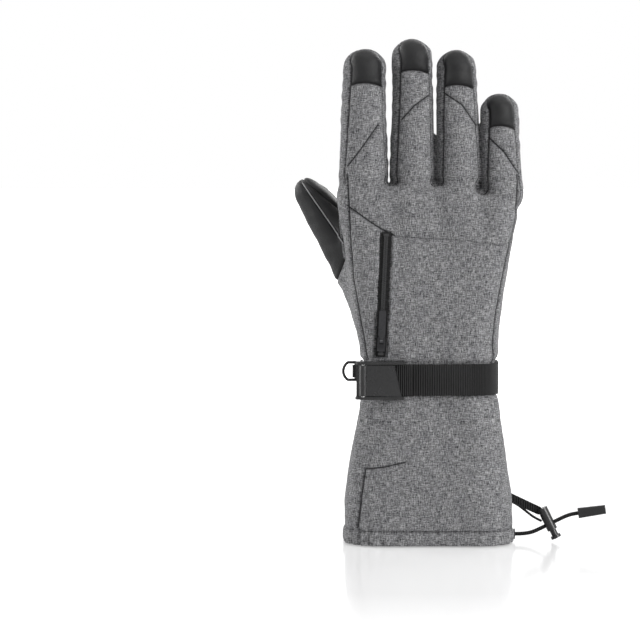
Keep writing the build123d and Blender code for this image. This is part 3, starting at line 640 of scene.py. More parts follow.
    def hem_roll(self, p: Array) -> Array:
        """The hem's cord channel, drawn up into uneven puckers."""
        z = p[:, 2]
        turn = self.around(p)
        inside = smoothstep(self.hem_line + 0.8, self.hem_line - 0.8, z)
        roll = np.sqrt(np.clip(1 - ((z - 4.7) / 5.2) ** 2, 0, 1))
        uneven = 0.55 + 0.45 * np.sin(turn * 3.0 + 2.6)
        lobes = np.abs(np.sin(turn * 17 + 1.6 * np.sin(turn * 6 + 0.5))) ** 0.55 - 0.72
        fine = np.sin(turn * 61 + 2.0 * np.sin(turn * 11))
        above = bump(z - self.hem_line - 1.0, 6.0) * (1 - inside)
        gathers = lobes * 3.2 * uneven + fine * 0.2
        return inside * roll * (1.0 + gathers) + above * 0.55 * gathers

    def knuckle_folds(self, p: Array) -> Array:
        """Soft valleys that run down the back from between the fingers."""
        x, y, z = p.T
        on_back = smoothstep(4.0, -10.0, y) * smoothstep(176, 214, z) * smoothstep(236, 224, z)
        total = np.zeros(len(p))
        for left, right in zip(self.form.fingers, self.form.fingers[1:]):
            middle = (left.foot[0] + left.base + right.foot[0] - right.base) / 2
            lean = middle + 0.08 * (228 - z)
            total -= 1.9 * bump(x - lean, 5.5)
            total += 0.7 * bump(x - lean - 13.0, 7.0)
        return total * on_back

    def zip_relief(self, p: Array, height: Array) -> Array:
        """Sinks the slot for the zip and raises a welt on each side of it."""
        across, level = self.zip_place(p)
        low, high = box_mm("zip_tape")
        beside = (p[:, 1] < 0) & (level > low[2] - 1) & (level < high[2] + 1)
        slot = smoothstep(4.1, 3.3, np.abs(across))
        welt = bump(np.abs(across) - 5.0, 1.3)
        calm = smoothstep(16.0, 5.0, np.abs(across)) * 0.8
        return np.where(beside, height * (1 - slot) * (1 - calm) - 2.1 * slot + 0.45 * welt, height)

    def under_strap(self, p: Array, height: Array) -> Array:
        """Holds the cloth below the webbing where the strap passes."""
        low, high = box_mm("wrist_strap")
        span = smoothstep(low[2] - 3.0, low[2] - 0.5, p[:, 2])
        span = span * smoothstep(high[2] + 3.0, high[2] + 0.5, p[:, 2])
        covered = span * smoothstep(high[1] + 4.0, high[1] + 0.5, p[:, 1])
        return height - covered * np.maximum(height + 0.35, 0.0)

    def relief(self, p: Array) -> Array:
        """How far the cloth stands out of the plain form at each point."""
        x, y, z = p.T
        turn = self.around(p)
        finger = smoothstep(-6, 8, self.finger_level(p))
        seam = self.seams(p)
        faint = self.faint_seams(p)
        leather = smoothstep(-0.5, 0.5, self.palm_level(p))
        height = -0.95 * bump(seam, 0.75) - 0.45 * bump(seam, 2.6)
        height -= 0.4 * bump(faint, 0.8) + 0.2 * bump(faint, 2.4)
        height += 0.35 * smoothstep(1.5, 7.0, seam)
        height += 0.55 * ripple(p, 46.0, 3) + 0.2 * ripple(p * [1, 1, 1.6], 15.0, 5)
        height += self.wrist_folds(p) + self.hem_roll(p) + self.knuckle_folds(p)
        flare = smoothstep(98, 60, z) * smoothstep(8, 24, z)
        height += flare * (1.5 * np.sin(turn * 3 + 0.7) * ripple(p * [1, 1, 0.35], 60.0, 9))
        creases = np.sin(z * 0.62 + 1.4 * np.sin(x * 0.13 + 1.0)) * ripple(p, 24.0, 12)
        on_finger = finger * smoothstep(0.0, 4.0, seam)
        height += on_finger * creases * np.where(y > 0, 0.35, 0.22)
        thumb = smoothstep(-4.0, 10.0, self.thumb_level(p))
        along = self.form.thumb.along(p)
        height += thumb * 0.7 * np.sin(along * 0.42 + 1.5 * np.sin(x * 0.2)) * bump(along - 30.0, 16.0)
        depth = self.patch_depth(p)
        height += leather * (0.8 * smoothstep(-0.2, 1.1, depth) - 0.5 * bump(depth + 0.7, 0.7))
        return self.under_strap(p, self.zip_relief(p, height))


class NodeBuilder:
    """Short ways to place and join shader nodes in one tree."""

    def __init__(self, tree: bpy.types.NodeTree) -> None:
        """Keeps the tree that the nodes go into."""
        self.tree = tree

    def add(self, kind: str, **settings: object) -> bpy.types.Node:
        """Adds a node and sets its plain settings."""
        node = self.tree.nodes.new(kind)
        for name, value in settings.items():
            setattr(node, name, value)
        return node

    def join(self, start: bpy.types.NodeSocket, end: bpy.types.NodeSocket) -> None:
        """Links two sockets."""
        self.tree.links.new(start, end)

    def math(self, operation: str, a: object, b: object = None) -> bpy.types.NodeSocket:
        """A Math node on sockets or plain numbers."""
        node = self.add("ShaderNodeMath", operation=operation)
        for socket, value in zip(node.inputs, (a, b)):
            if value is None:
                continue
            if isinstance(value, bpy.types.NodeSocket):
                self.join(value, socket)
            else:
                socket.default_value = value
        return node.outputs[0]

    def noise(self, vector: bpy.types.NodeSocket, scale: float, detail: float = 2.0) -> bpy.types.NodeSocket:
        """A noise value at that scale."""
        node = self.add("ShaderNodeTexNoise")
        node.inputs["Scale"].default_value = scale
        node.inputs["Detail"].default_value = detail
        self.join(vector, node.inputs["Vector"])
        return node.outputs["Fac"]

    def stretch(self, vector: bpy.types.NodeSocket, scale: tuple) -> bpy.types.NodeSocket:
        """The vector, scaled along each axis."""
        node = self.add("ShaderNodeMapping")
        node.inputs["Scale"].default_value = scale
        self.join(vector, node.inputs["Vector"])
        return node.outputs[0]

    def ramp(self, value: bpy.types.NodeSocket, stops: list) -> bpy.types.NodeSocket:
        """A colour ramp through (position, colour) stops."""
        node = self.add("ShaderNodeValToRGB")
        ramp = node.color_ramp
        for place, (position, colour) in enumerate(stops):
            stop = ramp.elements[place] if place < 2 else ramp.elements.new(position)
            stop.position = position
            stop.color = (*colour, 1.0)
        self.join(value, node.inputs["Fac"])
        return node.outputs["Color"]

    def mix(self, factor: object, a: object, b: object, blend: str = "MIX") -> bpy.types.NodeSocket:
        """A colour mix of sockets or plain colours."""
        node = self.add("ShaderNodeMix", data_type="RGBA", blend_type=blend)
        for socket, value in ((node.inputs[0], factor), (node.inputs[6], a), (node.inputs[7], b)):
            if isinstance(value, bpy.types.NodeSocket):
                self.join(value, socket)
            elif isinstance(value, tuple):
                socket.default_value = (*value, 1.0)
            else:
                socket.default_value = value
        return node.outputs[2]


def group(name: str, inputs: dict, outputs: dict) -> tuple[bpy.types.NodeTree, NodeBuilder, dict, dict]:
    """An empty shader node group with named sockets.

    Args:
        name: the group's name.
        inputs: input name to (socket type, default or None).
        outputs: output name to socket type.

    Returns:
        The tree, its builder, its input sockets and its output sockets by name.
    """
    tree = bpy.data.node_groups.new(name, "ShaderNodeTree")
    for label, (kind, value) in inputs.items():
        socket = tree.interface.new_socket(label, in_out="INPUT", socket_type=kind)
        if value is not None:
            socket.default_value = value
    for label, kind in outputs.items():
        tree.interface.new_socket(label, in_out="OUTPUT", socket_type=kind)
    build = NodeBuilder(tree)
    start = build.add("NodeGroupInput")
    end = build.add("NodeGroupOutput")
    return tree, build, dict(start.outputs.items()), dict(end.inputs.items())


def make_thread_group() -> bpy.types.NodeTree:
    """Crossing threads: a mask of light and dark yarn, and the height of the weave."""
    tree, build, given, made = group(
        "CrossedThreads",
        {"Place": ("NodeSocketVector", None), "Pitch": ("NodeSocketFloat", 0.7)},
        {"Yarn": "NodeSocketFloat", "Height": "NodeSocketFloat"},
    )
    parts = build.add("ShaderNodeSeparateXYZ")
    build.join(given["Place"], parts.inputs[0])
    across = build.math("DIVIDE", parts.outputs["X"], given["Pitch"])
    height = build.math("ADD", parts.outputs["Y"], parts.outputs["Z"])
    along = build.math("DIVIDE", height, given["Pitch"])
    cell = build.add("ShaderNodeCombineXYZ")
    build.join(across, cell.inputs[0])
    build.join(along, cell.inputs[1])
    warp = build.noise(build.stretch(cell.outputs[0], (0.95, 0.13, 1)), 1.0, 1.5)
    weft = build.noise(build.stretch(cell.outputs[0], (0.13, 0.95, 1)), 1.0, 1.5)
    speck = build.noise(cell.outputs[0], 0.62, 2.0)
    yarn = build.math("ADD", build.math("MULTIPLY", warp, 0.36), build.math("MULTIPLY", weft, 0.34))
    yarn = build.math("ADD", yarn, build.math("MULTIPLY", speck, 0.30))
    build.join(yarn, made["Yarn"])
    wave_a = build.math("SINE", build.math("MULTIPLY", across, math.pi))
    wave_b = build.math("SINE", build.math("MULTIPLY", along, math.pi))
    weave = build.math("ADD", build.math("MULTIPLY", build.math("MULTIPLY", wave_a, wave_b), 0.5), 0.5)
    relief = build.math("ADD", build.math("MULTIPLY", weave, 0.5), build.math("MULTIPLY", yarn, 0.8))
    build.join(relief, made["Height"])
    return tree


def make_grain_group() -> bpy.types.NodeTree:
    """Leather grain: the height of small rounded cells and a slow unevenness."""
    tree, build, given, made = group(
        "LeatherGrain",
        {"Place": ("NodeSocketVector", None), "Cells": ("NodeSocketFloat", 1.1)},
        {"Height": "NodeSocketFloat", "Uneven": "NodeSocketFloat"},
    )
    cells = build.add("ShaderNodeTexVoronoi", feature="DISTANCE_TO_EDGE")
    build.join(given["Place"], cells.inputs["Vector"])
    build.join(given["Cells"], cells.inputs["Scale"])
    soft = build.math("MINIMUM", build.math("MULTIPLY", cells.outputs["Distance"], 4.0), 1.0)
    fine = build.noise(given["Place"], 3.0, 3.0)
    height = build.math("ADD", build.math("MULTIPLY", soft, 0.7), build.math("MULTIPLY", fine, 0.3))
    build.join(height, made["Height"])
    build.join(build.noise(given["Place"], 0.06, 4.0), made["Uneven"])
    return tree


def make_wear_group() -> bpy.types.NodeTree:
    """Dust and rubbing: a patchy mask on raised edges, and a patchy dust mask."""
    tree, build, given, made = group(
        "Wear", {"Place": ("NodeSocketVector", None)}, {"Edge": "NodeSocketFloat", "Dust": "NodeSocketFloat"}
    )
    geometry = build.add("ShaderNodeNewGeometry")
    sharp = build.math("MULTIPLY", build.math("SUBTRACT", geometry.outputs["Pointiness"], 0.52), 9.0)
    patchy = build.noise(given["Place"], 0.9, 4.0)
    edge = build.math("MULTIPLY", build.math("MAXIMUM", sharp, 0.0), patchy)
    build.join(build.math("MINIMUM", edge, 1.0), made["Edge"])
    build.join(build.noise(given["Place"], 0.12, 5.0), made["Dust"])
    return tree


@dataclass
class Workshop:
    """The shared shader effects, built once, and the steps every finish takes."""

    threads: bpy.types.NodeTree = field(default_factory=make_thread_group)
    grain: bpy.types.NodeTree = field(default_factory=make_grain_group)
    wear: bpy.types.NodeTree = field(default_factory=make_wear_group)

    def start(self, name: str, place: Place) -> tuple[bpy.types.Material, NodeBuilder, object, object]:
        """A new material.

        Args:
            name: the material's name.
            place: what the pattern follows.

        Returns:
            The material, its node builder, its shader and the pattern's place in millimetres.
        """
        material = bpy.data.materials.new(name)
        material.use_nodes = True
        build = NodeBuilder(material.node_tree)
        shader = material.node_tree.nodes["Principled BSDF"]
        if place is Place.SHELL:
            where = build.add("ShaderNodeAttribute", attribute_name="cloth").outputs["Vector"]
        else:
            coords = build.add("ShaderNodeTexCoord")
            where = build.stretch(coords.outputs["Object"], (1000.0, 1000.0, 1000.0))
        return material, build, shader, where

    def emboss(self, build: NodeBuilder, shader: object, height: object, strength: float,
               depth: float) -> None:
        """Feeds a height to the shader's normal, to that depth in millimetres."""
        node = build.add("ShaderNodeBump")
        node.inputs["Strength"].default_value = strength
        node.inputs["Distance"].default_value = depth * MM
        build.join(height, node.inputs["Height"])
        build.join(node.outputs["Normal"], shader.inputs["Normal"])

    def use(self, build: NodeBuilder, tree: object, place: object, **values: float) -> object:
        """Adds a shared effect, with its place linked and its plain values set."""
        node = build.add("ShaderNodeGroup", node_tree=tree)
        build.join(place, node.inputs["Place"])
        for name, value in values.items():
            node.inputs[name].default_value = value
        return node


@dataclass(frozen=True)
class HeatherCloth:
    """Grey cloth woven from mixed light and dark yarn, with painted shade in its seams."""

    dark: tuple = (0.040, 0.040, 0.043)
    light: tuple = (0.47, 0.47, 0.48)
    pitch: float = 0.5
    sheen: float = 0.12

    def material(self, name: str, shop: Workshop) -> bpy.types.Material:
        """The cloth's material."""
        material, build, shader, place = shop.start(name, Place.SHELL)
        woven = shop.use(build, shop.threads, place, Pitch=self.pitch)
        middle = tuple(a * 0.64 + b * 0.36 for a, b in zip(self.dark, self.light))
        stops = [(0.38, self.dark), (0.62, self.light), (0.49, middle)]
        colour = build.ramp(woven.outputs["Yarn"], stops)
        wear = shop.use(build, shop.wear, place)
        uneven = build.ramp(wear.outputs["Dust"], [(0.35, (0.84, 0.84, 0.85)), (0.68, (1.08, 1.08, 1.07))])
        colour = build.mix(1.0, colour, uneven, "MULTIPLY")
        # Painted shade: along the seams the cloth's colour is pulled to near black, standing in for the shadow in the
        # seam grooves.
        seam = build.add("ShaderNodeAttribute", attribute_name="seam").outputs["Fac"]
        colour = build.mix(seam, colour, (0.008, 0.008, 0.009))
        build.join(colour, shader.inputs["Base Color"])
        rough = build.math("ADD", build.math("MULTIPLY", woven.outputs["Yarn"], 0.2), 0.72)
        build.join(rough, shader.inputs["Roughness"])
        shader.inputs["Sheen Weight"].default_value = self.sheen
        shader.inputs["Sheen Roughness"].default_value = 0.45
        shader.inputs["Specular IOR Level"].default_value = 0.2
        shop.emboss(build, shader, woven.outputs["Height"], 0.6, 0.35)
        return material


@dataclass(frozen=True)
class GrainedLeather:
    """Black grained leather, embossed with rows of pits where a grip patch is, with painted shade in its seams."""

    colour: tuple = (0.0065, 0.0065, 0.007)
    rough: float = 0.30
    gripped: bool = True
    pit_scale: float = 0.40

    def material(self, name: str, shop: Workshop) -> bpy.types.Material:
        """The leather's material."""
        material, build, shader, place = shop.start(name, Place.SHELL)
        grain = shop.use(build, shop.grain, place, Cells=1.15)
        lighter = tuple(c * 1.9 for c in self.colour)
        base = build.ramp(grain.outputs["Uneven"], [(0.35, self.colour), (0.7, lighter)])
        height = grain.outputs["Height"]
        if self.gripped:
            patch = build.add("ShaderNodeAttribute", attribute_name="patch").outputs["Fac"]
            dots = build.add("ShaderNodeTexVoronoi", feature="F1")
            dots.inputs["Scale"].default_value = self.pit_scale
            dots.inputs["Randomness"].default_value = 0.2
            build.join(place, dots.inputs["Vector"])
            pits = build.math("MINIMUM", build.math("MULTIPLY", dots.outputs["Distance"], 1.7), 1.0)
            pits = build.math("MULTIPLY", pits, build.math("MULTIPLY", patch, 2.6))
            height = build.math("ADD", height, pits)
            base = build.mix(patch, base, tuple(c * 0.8 for c in self.colour))
        # Painted shade: along the seams the leather's colour is pulled to near black, standing in for the shadow in
        # the seam grooves.
        seam = build.add("ShaderNodeAttribute", attribute_name="seam").outputs["Fac"]
        base = build.mix(seam, base, (0.002, 0.002, 0.002))
        build.join(base, shader.inputs["Base Color"])
        uneven = build.math("MULTIPLY", grain.outputs["Uneven"], 0.22)
        build.join(build.math("ADD", uneven, self.rough), shader.inputs["Roughness"])
        shader.inputs["Specular IOR Level"].default_value = 0.3
        shop.emboss(build, shader, height, 0.4, 0.3)
        return material


@dataclass(frozen=True)
class RibbedWebbing:
    """Black woven webbing or braid, ribbed across its length, with painted shade in the hollows between the ribs."""

    pitch: float = 0.55
    rib: float = 1.5
    across: bool = True

    def material(self, name: str, shop: Workshop) -> bpy.types.Material:
        """The webbing's material."""
        material, build, shader, place = shop.start(name, Place.PIECE)
        woven = shop.use(build, shop.threads, place, Pitch=self.pitch)
        parts = build.add("ShaderNodeSeparateXYZ")
        build.join(place, parts.inputs[0])
        along = parts.outputs["Z"]
        if self.across:
            side = build.math("SIGN", parts.outputs["X"])
            along = build.math("ADD", parts.outputs["X"], build.math("MULTIPLY", side, parts.outputs["Y"]))
        ribs = build.math("SINE", build.math("MULTIPLY", along, 2 * math.pi / self.rib))
        height = build.math("ADD", build.math("MULTIPLY", ribs, 0.9), woven.outputs["Height"])
        dark = build.ramp(woven.outputs["Yarn"], [(0.35, (0.004, 0.004, 0.004)), (0.65, (0.022, 0.022, 0.023))])
        # Painted shade: the colour falls to near black where the ribs are low, following the same waves as the bump.
        painted_rib_shade = build.math("ADD", build.math("MULTIPLY", ribs, 0.5), 0.5)
        colour = build.mix(painted_rib_shade, (0.003, 0.003, 0.003), dark)
        build.join(colour, shader.inputs["Base Color"])
        rough = build.math("ADD", build.math("MULTIPLY", woven.outputs["Yarn"], 0.3), 0.42)
        build.join(rough, shader.inputs["Roughness"])
        shader.inputs["Specular IOR Level"].default_value = 0.3
        shop.emboss(build, shader, height, 0.8, 0.4)
        return material


@dataclass(frozen=True)
class Moulded:
    """Moulded plastic or plated metal, rubbed a little lighter on its edges."""

    colour: tuple = (0.007, 0.007, 0.0075)
    rough: float = 0.18
    metal: float = 0.0
    shine: float = 0.5

    def material(self, name: str, shop: Workshop) -> bpy.types.Material:
        """The material of the plastic or metal."""
        material, build, shader, place = shop.start(name, Place.PIECE)
        wear = shop.use(build, shop.wear, place)
        rubbed = tuple(min(1.0, c * 2.0 + 0.012) for c in self.colour)
        build.join(build.mix(wear.outputs["Edge"], self.colour, rubbed), shader.inputs["Base Color"])
        dusty = build.math("ADD", build.math("MULTIPLY", wear.outputs["Dust"], 0.16), self.rough)
        build.join(dusty, shader.inputs["Roughness"])
        shader.inputs["Metallic"].default_value = self.metal
        shader.inputs["Specular IOR Level"].default_value = self.shine
        shop.emboss(build, shader, wear.outputs["Dust"], 0.12, 0.2)
        return material


@dataclass(frozen=True)
class FleeceLining:
    """Brushed dark lining."""

    low: tuple = (0.014, 0.014, 0.016)
    high: tuple = (0.040, 0.040, 0.044)

    def material(self, name: str, shop: Workshop) -> bpy.types.Material:
        """The lining's material."""
        material, build, shader, place = shop.start(name, Place.PIECE)
        wear = shop.use(build, shop.wear, place)
        colour = build.ramp(wear.outputs["Dust"], [(0.3, self.low), (0.7, self.high)])
        build.join(colour, shader.inputs["Base Color"])
        fuzz = build.noise(place, 1.6, 4.0)
        build.join(build.math("ADD", build.math("MULTIPLY", fuzz, 0.1), 0.85), shader.inputs["Roughness"])
        shader.inputs["Sheen Weight"].default_value = 0.4
        shop.emboss(build, shader, fuzz, 0.8, 0.6)
        return material


def cloth_corners(corners: Array) -> Array:
    """Where each triangle's corners lie on the flat cloth that it was cut from.

    Args:
        corners: the corners' places on the glove, M x 3 x 3, in millimetres.

    Returns:
        Across, along and 0 for each corner, M x 3 x 3.
    """
    facing = np.abs(np.cross(corners[:, 1] - corners[:, 0], corners[:, 2] - corners[:, 0]))
    most = facing.argmax(axis=1)
    x, y, z = corners[:, :, 0], corners[:, :, 1], corners[:, :, 2]
    across = np.where(most[:, None] == 0, y + 500.0, x)
    along = np.where(most[:, None] == 2, y + 900.0, z)
    return np.stack([across, along, np.zeros_like(across)], axis=2)


def new_mesh(name: str, points: Array, tris: Array,
             marks: dict[str, Array] | None = None) -> bpy.types.Object:
    """A smooth mesh object from points in millimetres.

    Args:
        name: the object's name.
        points: the points, N x 3.
        tris: triangles or quads.
        marks: point attributes: N values, or N x 3 for a vector.
    """
    used, flat = np.unique(tris, return_inverse=True)
    faces = flat.reshape(tris.shape)
    size = tris.shape[1]
    mesh = bpy.data.meshes.new(name)
    mesh.vertices.add(len(used))
    mesh.vertices.foreach_set("co", (points[used] * MM).ravel())
    mesh.loops.add(faces.size)
    mesh.loops.foreach_set("vertex_index", faces.ravel().astype(np.int32))
    mesh.polygons.add(len(faces))
    mesh.polygons.foreach_set("loop_start", np.arange(0, faces.size, size, dtype=np.int32))
    mesh.polygons.foreach_set("use_smooth", np.ones(len(faces), dtype=bool))
    mesh.update(calc_edges=True)
    for label, values in (marks or {}).items():
        if label == "cloth":
            attribute = mesh.attributes.new(label, "FLOAT_VECTOR", "CORNER")
            attribute.data.foreach_set("vector", cloth_corners(values[tris]).astype(np.float32).ravel())
            continue
        vector = values.ndim == 2
        attribute = mesh.attributes.new(label, "FLOAT_VECTOR" if vector else "FLOAT", "POINT")
        attribute.data.foreach_set("vector" if vector else "value", values[used].astype(np.float32).ravel())
    mesh.validate()
    piece = bpy.data.objects.new(name, mesh)
    bpy.context.scene.collection.objects.link(piece)
    return piece


def dress(piece: bpy.types.Object, material: bpy.types.Material) -> None:
    """Gives a piece one material."""
    piece.data.materials.clear()
    piece.data.materials.append(material)


@dataclass
class Shell:
    """The glove's soft outer panels, cut from one net along their seams."""

    shop: Workshop
    form: GloveForm = field(default_factory=GloveForm)
    thickness: float = 1.0
    seam_shade_width: float = 0.55
    seam_edge: float = 0.85

    def build(self) -> tuple[Array, Array]:
        """Cuts, shapes and dresses every panel.

        Returns:
            The shaped points and the triangles of the whole shell, for pieces that lie on it.
        """
        pattern = Pattern(self.form)
        points, tris = Skinner().net(self.form)
        LOG.info("shell net: %d points, %d triangles", len(points), len(tris))
        for line in pattern.lines():
            for shift in (-self.seam_edge, self.seam_edge, 0.0):
                points, tris = cut(points, tris, line(points) + shift, near=4.0)
        for level in pattern.levels():
            points, tris = cut(points, tris, level(points))
        middle = points[tris].mean(axis=1)
        above_floor = middle[:, 2] > 0.9
        tris, middle = tris[above_floor], middle[above_floor]
        height = pattern.relief(points)
        shaped = points + self.form.normal(points) * height[:, None]
        shaped[:, 2] = np.maximum(shaped[:, 2], 0.3)
        # The seam mark is painted shade for the materials: full strength on the full-depth seams and 0.4 on the
        # shallow topstitched ones.
        faint = bump(pattern.faint_seams(points), self.seam_shade_width) * 0.4
        seam = np.maximum(bump(pattern.seams(points), self.seam_shade_width), faint)
        patch = smoothstep(0.2, 1.4, pattern.patch_depth(points))
        marks = {"cloth": points, "seam": seam, "patch": patch}
        finger = pattern.finger_level(middle) > 0
        thumb = (pattern.thumb_level(middle) > 0) & ~finger
        palm = pattern.palm_level(middle) > 0
        cap = (pattern.cap_level(middle) > 0) & finger
        thumb_leather = (pattern.thumb_leather_level(middle) > 0) & thumb
        nearest = pattern.nearest_finger(middle)
        hand = ~finger & ~thumb
        cloth = HeatherCloth().material("heather_cloth", self.shop)
        leather = GrainedLeather().material("black_leather", self.shop)
        caps = GrainedLeather(rough=0.36, gripped=False).material("cap_leather", self.shop)
        high = middle[:, 2] > pattern.wrist_z
        low = middle[:, 2] < pattern.hem_line

        def panel(name: str, mask: Array, material: bpy.types.Material, slot: str,
                  *nodes: str) -> bpy.types.Object:
            piece = new_mesh(name, shaped, tris[mask], marks)
            dress(piece, material)
            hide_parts(*nodes)
            LOG.info("%s: %d triangles", name, int(mask.sum()))
            return piece

        hand_nodes = ("knuckle_panel", "pocket_panel", "thumb_side_panel", "palm_wrist_panel",
                      "side_gussets", "hand_insulation")
        still = [
            panel("hand_cloth", hand & ~palm & high, cloth, "grey_fabric", *hand_nodes),
            panel("palm_leather_panel", hand & palm & high, leather, "black_leather", "palm_leather", "grip_patches"),
            panel("gauntlet_cloth", hand & ~high & ~low, cloth, "grey_fabric", "gauntlet_back", "gauntlet_palm",
                  "wrist_elastic"),
            panel("hem_roll", hand & low, cloth, "grey_fabric", "hem_channel"),
        ]
        for piece in still:
            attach(piece, "hand")
            self.thicken(piece)
        self.lining(points, np.minimum(height, 0.0), tris[hand & (middle[:, 2] < 222)])
        for number, stall in enumerate(self.form.fingers):
            mine = finger & (nearest == number)
            name = stall.name
            extra = ("touch_patch",) if name == "index" else ()
            made = [
                panel(f"{name}_cloth", mine & ~palm & ~cap, cloth, "grey_fabric", f"{name}_back", f"{name}_gusset", f"{name}_liner"),
                panel(f"{name}_tip", mine & cap & ~palm, caps, "black_leather", f"{name}_cap"),
                panel(f"{name}_front", mine & palm, leather, "black_leather", f"{name}_palm", *extra),
            ]
            level = 232.0 if name != "little" else 221.5
            for piece in made:
                self.thicken(piece)
                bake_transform(piece)
        thumb_pieces = [
            panel("thumb_cloth", thumb & ~thumb_leather, cloth, "grey_fabric", "thumb_fabric", "thumb_liner"),
            panel("thumb_cover", thumb_leather, caps, "black_leather", "thumb_leather"),
        ]
        stall = self.form.thumb
        for piece in thumb_pieces:
            self.thicken(piece)
            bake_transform(piece)
        return shaped, tris

    def lining(self, points: Array, sunk: Array, tris: Array) -> None:
        """The brushed lining inside the cuff and the hand, one ply under the shell.

        Args:
            points: the plain form's points.
            sunk: how far the shell's folds reach inwards at each point, 0 or less.
            tris: the triangles that the lining backs.
        """
        deep = np.interp(points[:, 2], [0, 9, 14, 112, 126], [5.0, 5.0, 2.6, 2.8, 5.0])
        inner = points + self.form.normal(points) * (sunk - deep)[:, None]
        piece = new_mesh("brushed_lining", inner, tris[:, ::-1])
        dress(piece, FleeceLining().material("fleece_lining", self.shop))
        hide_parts("gauntlet_lining", "hand_lining")
        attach(piece, "hand")
        LOG.info("brushed_lining: %d triangles", len(tris))

    def thicken(self, piece: bpy.types.Object) -> None:
        """Gives a panel the thickness of its cloth, inwards."""
        solid = piece.modifiers.new("ply", "SOLIDIFY")
        solid.thickness = self.thickness * MM
        solid.offset = -1.0
        solid.use_rim = True


@dataclass
class Drawcord:
    """The hem's elastic cord, outside the hem, and the thin strand that keeps the lock."""

    shop: Workshop
    diameter: float = 2.5
    keeper_diameter: float = 1.6
    route: tuple = (
        (56.28, -2.0, 4.75), (61.3, -2.0, 4.75), (67.4, -2.9, 6.0), (73.706, -4.0, 9.208),
        (82.694, -4.0, 13.592), (87.3, -4.7, 16.0), (92.0, -5.6, 17.9), (96.4, -6.3, 18.6))
    keeper: tuple = (
        (53.7, -4.0, 26.0), (58.0, -4.4, 23.6), (63.2, -4.6, 19.4), (68.6, -4.4, 15.2),
        (73.0, -4.1, 13.2))

    def curve(self, name: str, route: tuple, diameter: float) -> bpy.types.Object:
        """A smooth cord through a route's control points."""
        data = bpy.data.curves.new(name, "CURVE")
        data.dimensions = "3D"
        data.bevel_depth = diameter / 2 * MM
        data.bevel_resolution = 5
        data.resolution_u = 16
        spline = data.splines.new("NURBS")
        spline.points.add(len(route) - 1)
        for point, place in zip(spline.points, route):
            point.co = (*(c * MM for c in place), 1.0)
        spline.order_u = 3
        spline.use_endpoint_u = True
        data.use_fill_caps = True
        cord = bpy.data.objects.new(name, data)
        bpy.context.scene.collection.objects.link(cord)
        return cord

    def build(self) -> None:
        """Makes both cords and parents them to the hand."""
        braid = RibbedWebbing(pitch=0.5, rib=1.1).material("braided_elastic", self.shop)
        strand = self.curve("lock_keeper_strand", self.keeper, self.keeper_diameter)
        cord = self.curve("hem_cord_tail", self.route, self.diameter)
        for piece, node in ((strand, "keeper_cord"), (cord, "drawcord")):
            piece.data.materials.append(braid)
            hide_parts(node)
            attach(piece, "hand")
        LOG.info("drawcord and keeper strand")


@dataclass
class Hardware:
    """The carried-over CAD pieces: zip, strap, buckle, ring and cord lock."""

    shop: Workshop
    edge: float = 0.25

    def soften(self, node: str) -> None:
        """Rounds a moulded piece's edges so that they catch the light."""
        bevel = frame["nodes"][node].modifiers.new("edge", "BEVEL")
        bevel.width = self.edge * MM
        bevel.segments = 2
        bevel.limit_method = "ANGLE"
        bevel.angle_limit = math.radians(40)

    def build(self) -> None:
        """Dresses every CAD piece that stays visible."""
        shop = self.shop
        strap = RibbedWebbing().material("ribbed_webbing", shop)
        tape = RibbedWebbing(pitch=0.4, rib=0.9, across=False).material("zip_tape_weave", shop)
        braid = RibbedWebbing(pitch=0.5, rib=1.1).material("hidden_braid", shop)
        plastic = Moulded().material("black_plastic", shop)
        coil = Moulded(rough=0.32).material("coil_plastic", shop)
        dark = Moulded(colour=(0.035, 0.035, 0.037), rough=0.16, metal=1.0).material("dark_metal", shop)
        steel = Moulded(colour=(0.55, 0.55, 0.55), rough=0.22, metal=1.0).material("bright_steel", shop)
        plan = {
            "wrist_strap": strap, "strap_tail": strap, "ring_tab": strap, "lock_tether": strap,
            "zip_tape": tape, "hem_drawcord": braid, "zip_coil": coil,
            "zip_slider": dark, "zip_pull": dark, "d_ring": plastic, "cord_eyelet": dark,
            "buckle_frame": plastic, "buckle_lever": plastic, "cord_lock_body": plastic,
            "cord_lock_button": plastic, "cord_end": plastic, "buckle_pin": steel,
            "cord_lock_spring": steel,
        }
        for node, material in plan.items():
            dress(frame["nodes"][node], material)
        for node in ("buckle_frame", "buckle_lever", "cord_lock_body", "cord_lock_button", "cord_end",
                     "zip_slider", "zip_pull"):
            self.soften(node)
        LOG.info("hardware: %d CAD pieces dressed", len(plan))


@dataclass
class ZipTeeth:
    """The interlocking coil of the pocket zip."""

    shop: Workshop
    pitch: float = 1.35
    reach: float = 1.25
    wire: float = 0.42

    def build(self) -> None:
        """Lays a row of small rounded teeth on each side of the zip's middle."""
        low, high = box_mm("zip_tape")
        axis = np.array(joint("zip_slide")["axis"])
        start = np.array([low[0] + 3.35, 0.0, low[2] + 3.0])
        coil_low, coil_high = box_mm("zip_coil")
        slope = axis[1] / axis[2]
        start[1] = coil_low[1] + 0.55
        count = int((high[2] - low[2] - 6.0) / self.pitch)
        points, faces = [], []
        ring = [(math.cos(a) * self.wire, math.sin(a) * self.wire * 0.9) for a in np.arange(8) * math.pi / 4]
        for side in (-1, 1):
            for tooth in range(count):
                rise = (tooth + (0.5 if side > 0 else 0.0)) * self.pitch
                centre = start + axis / axis[2] * rise
                for step, reach in enumerate((0.05, 0.55, 1.0)):
                    for u, v in ring:
                        swell = 1.0 if step != 2 else 0.75
                        points.append(centre + np.array([side * reach * self.reach, v * swell, u * swell]))
                base = len(points) - 24
                for band in range(2):
                    for k in range(8):
                        n = (k + 1) % 8
                        a = base + band * 8
                        faces.append((a + k, a + n, a + 8 + n, a + 8 + k))
        teeth = new_mesh("zip_teeth", np.array(points), np.array(faces))
        dress(teeth, Moulded(colour=(0.014, 0.014, 0.015), rough=0.25).material("tooth_plastic", self.shop))
        teeth.data.update()
        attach(teeth, "hand")
        LOG.info("zip teeth: %d, slope %.3f", 2 * count, slope)


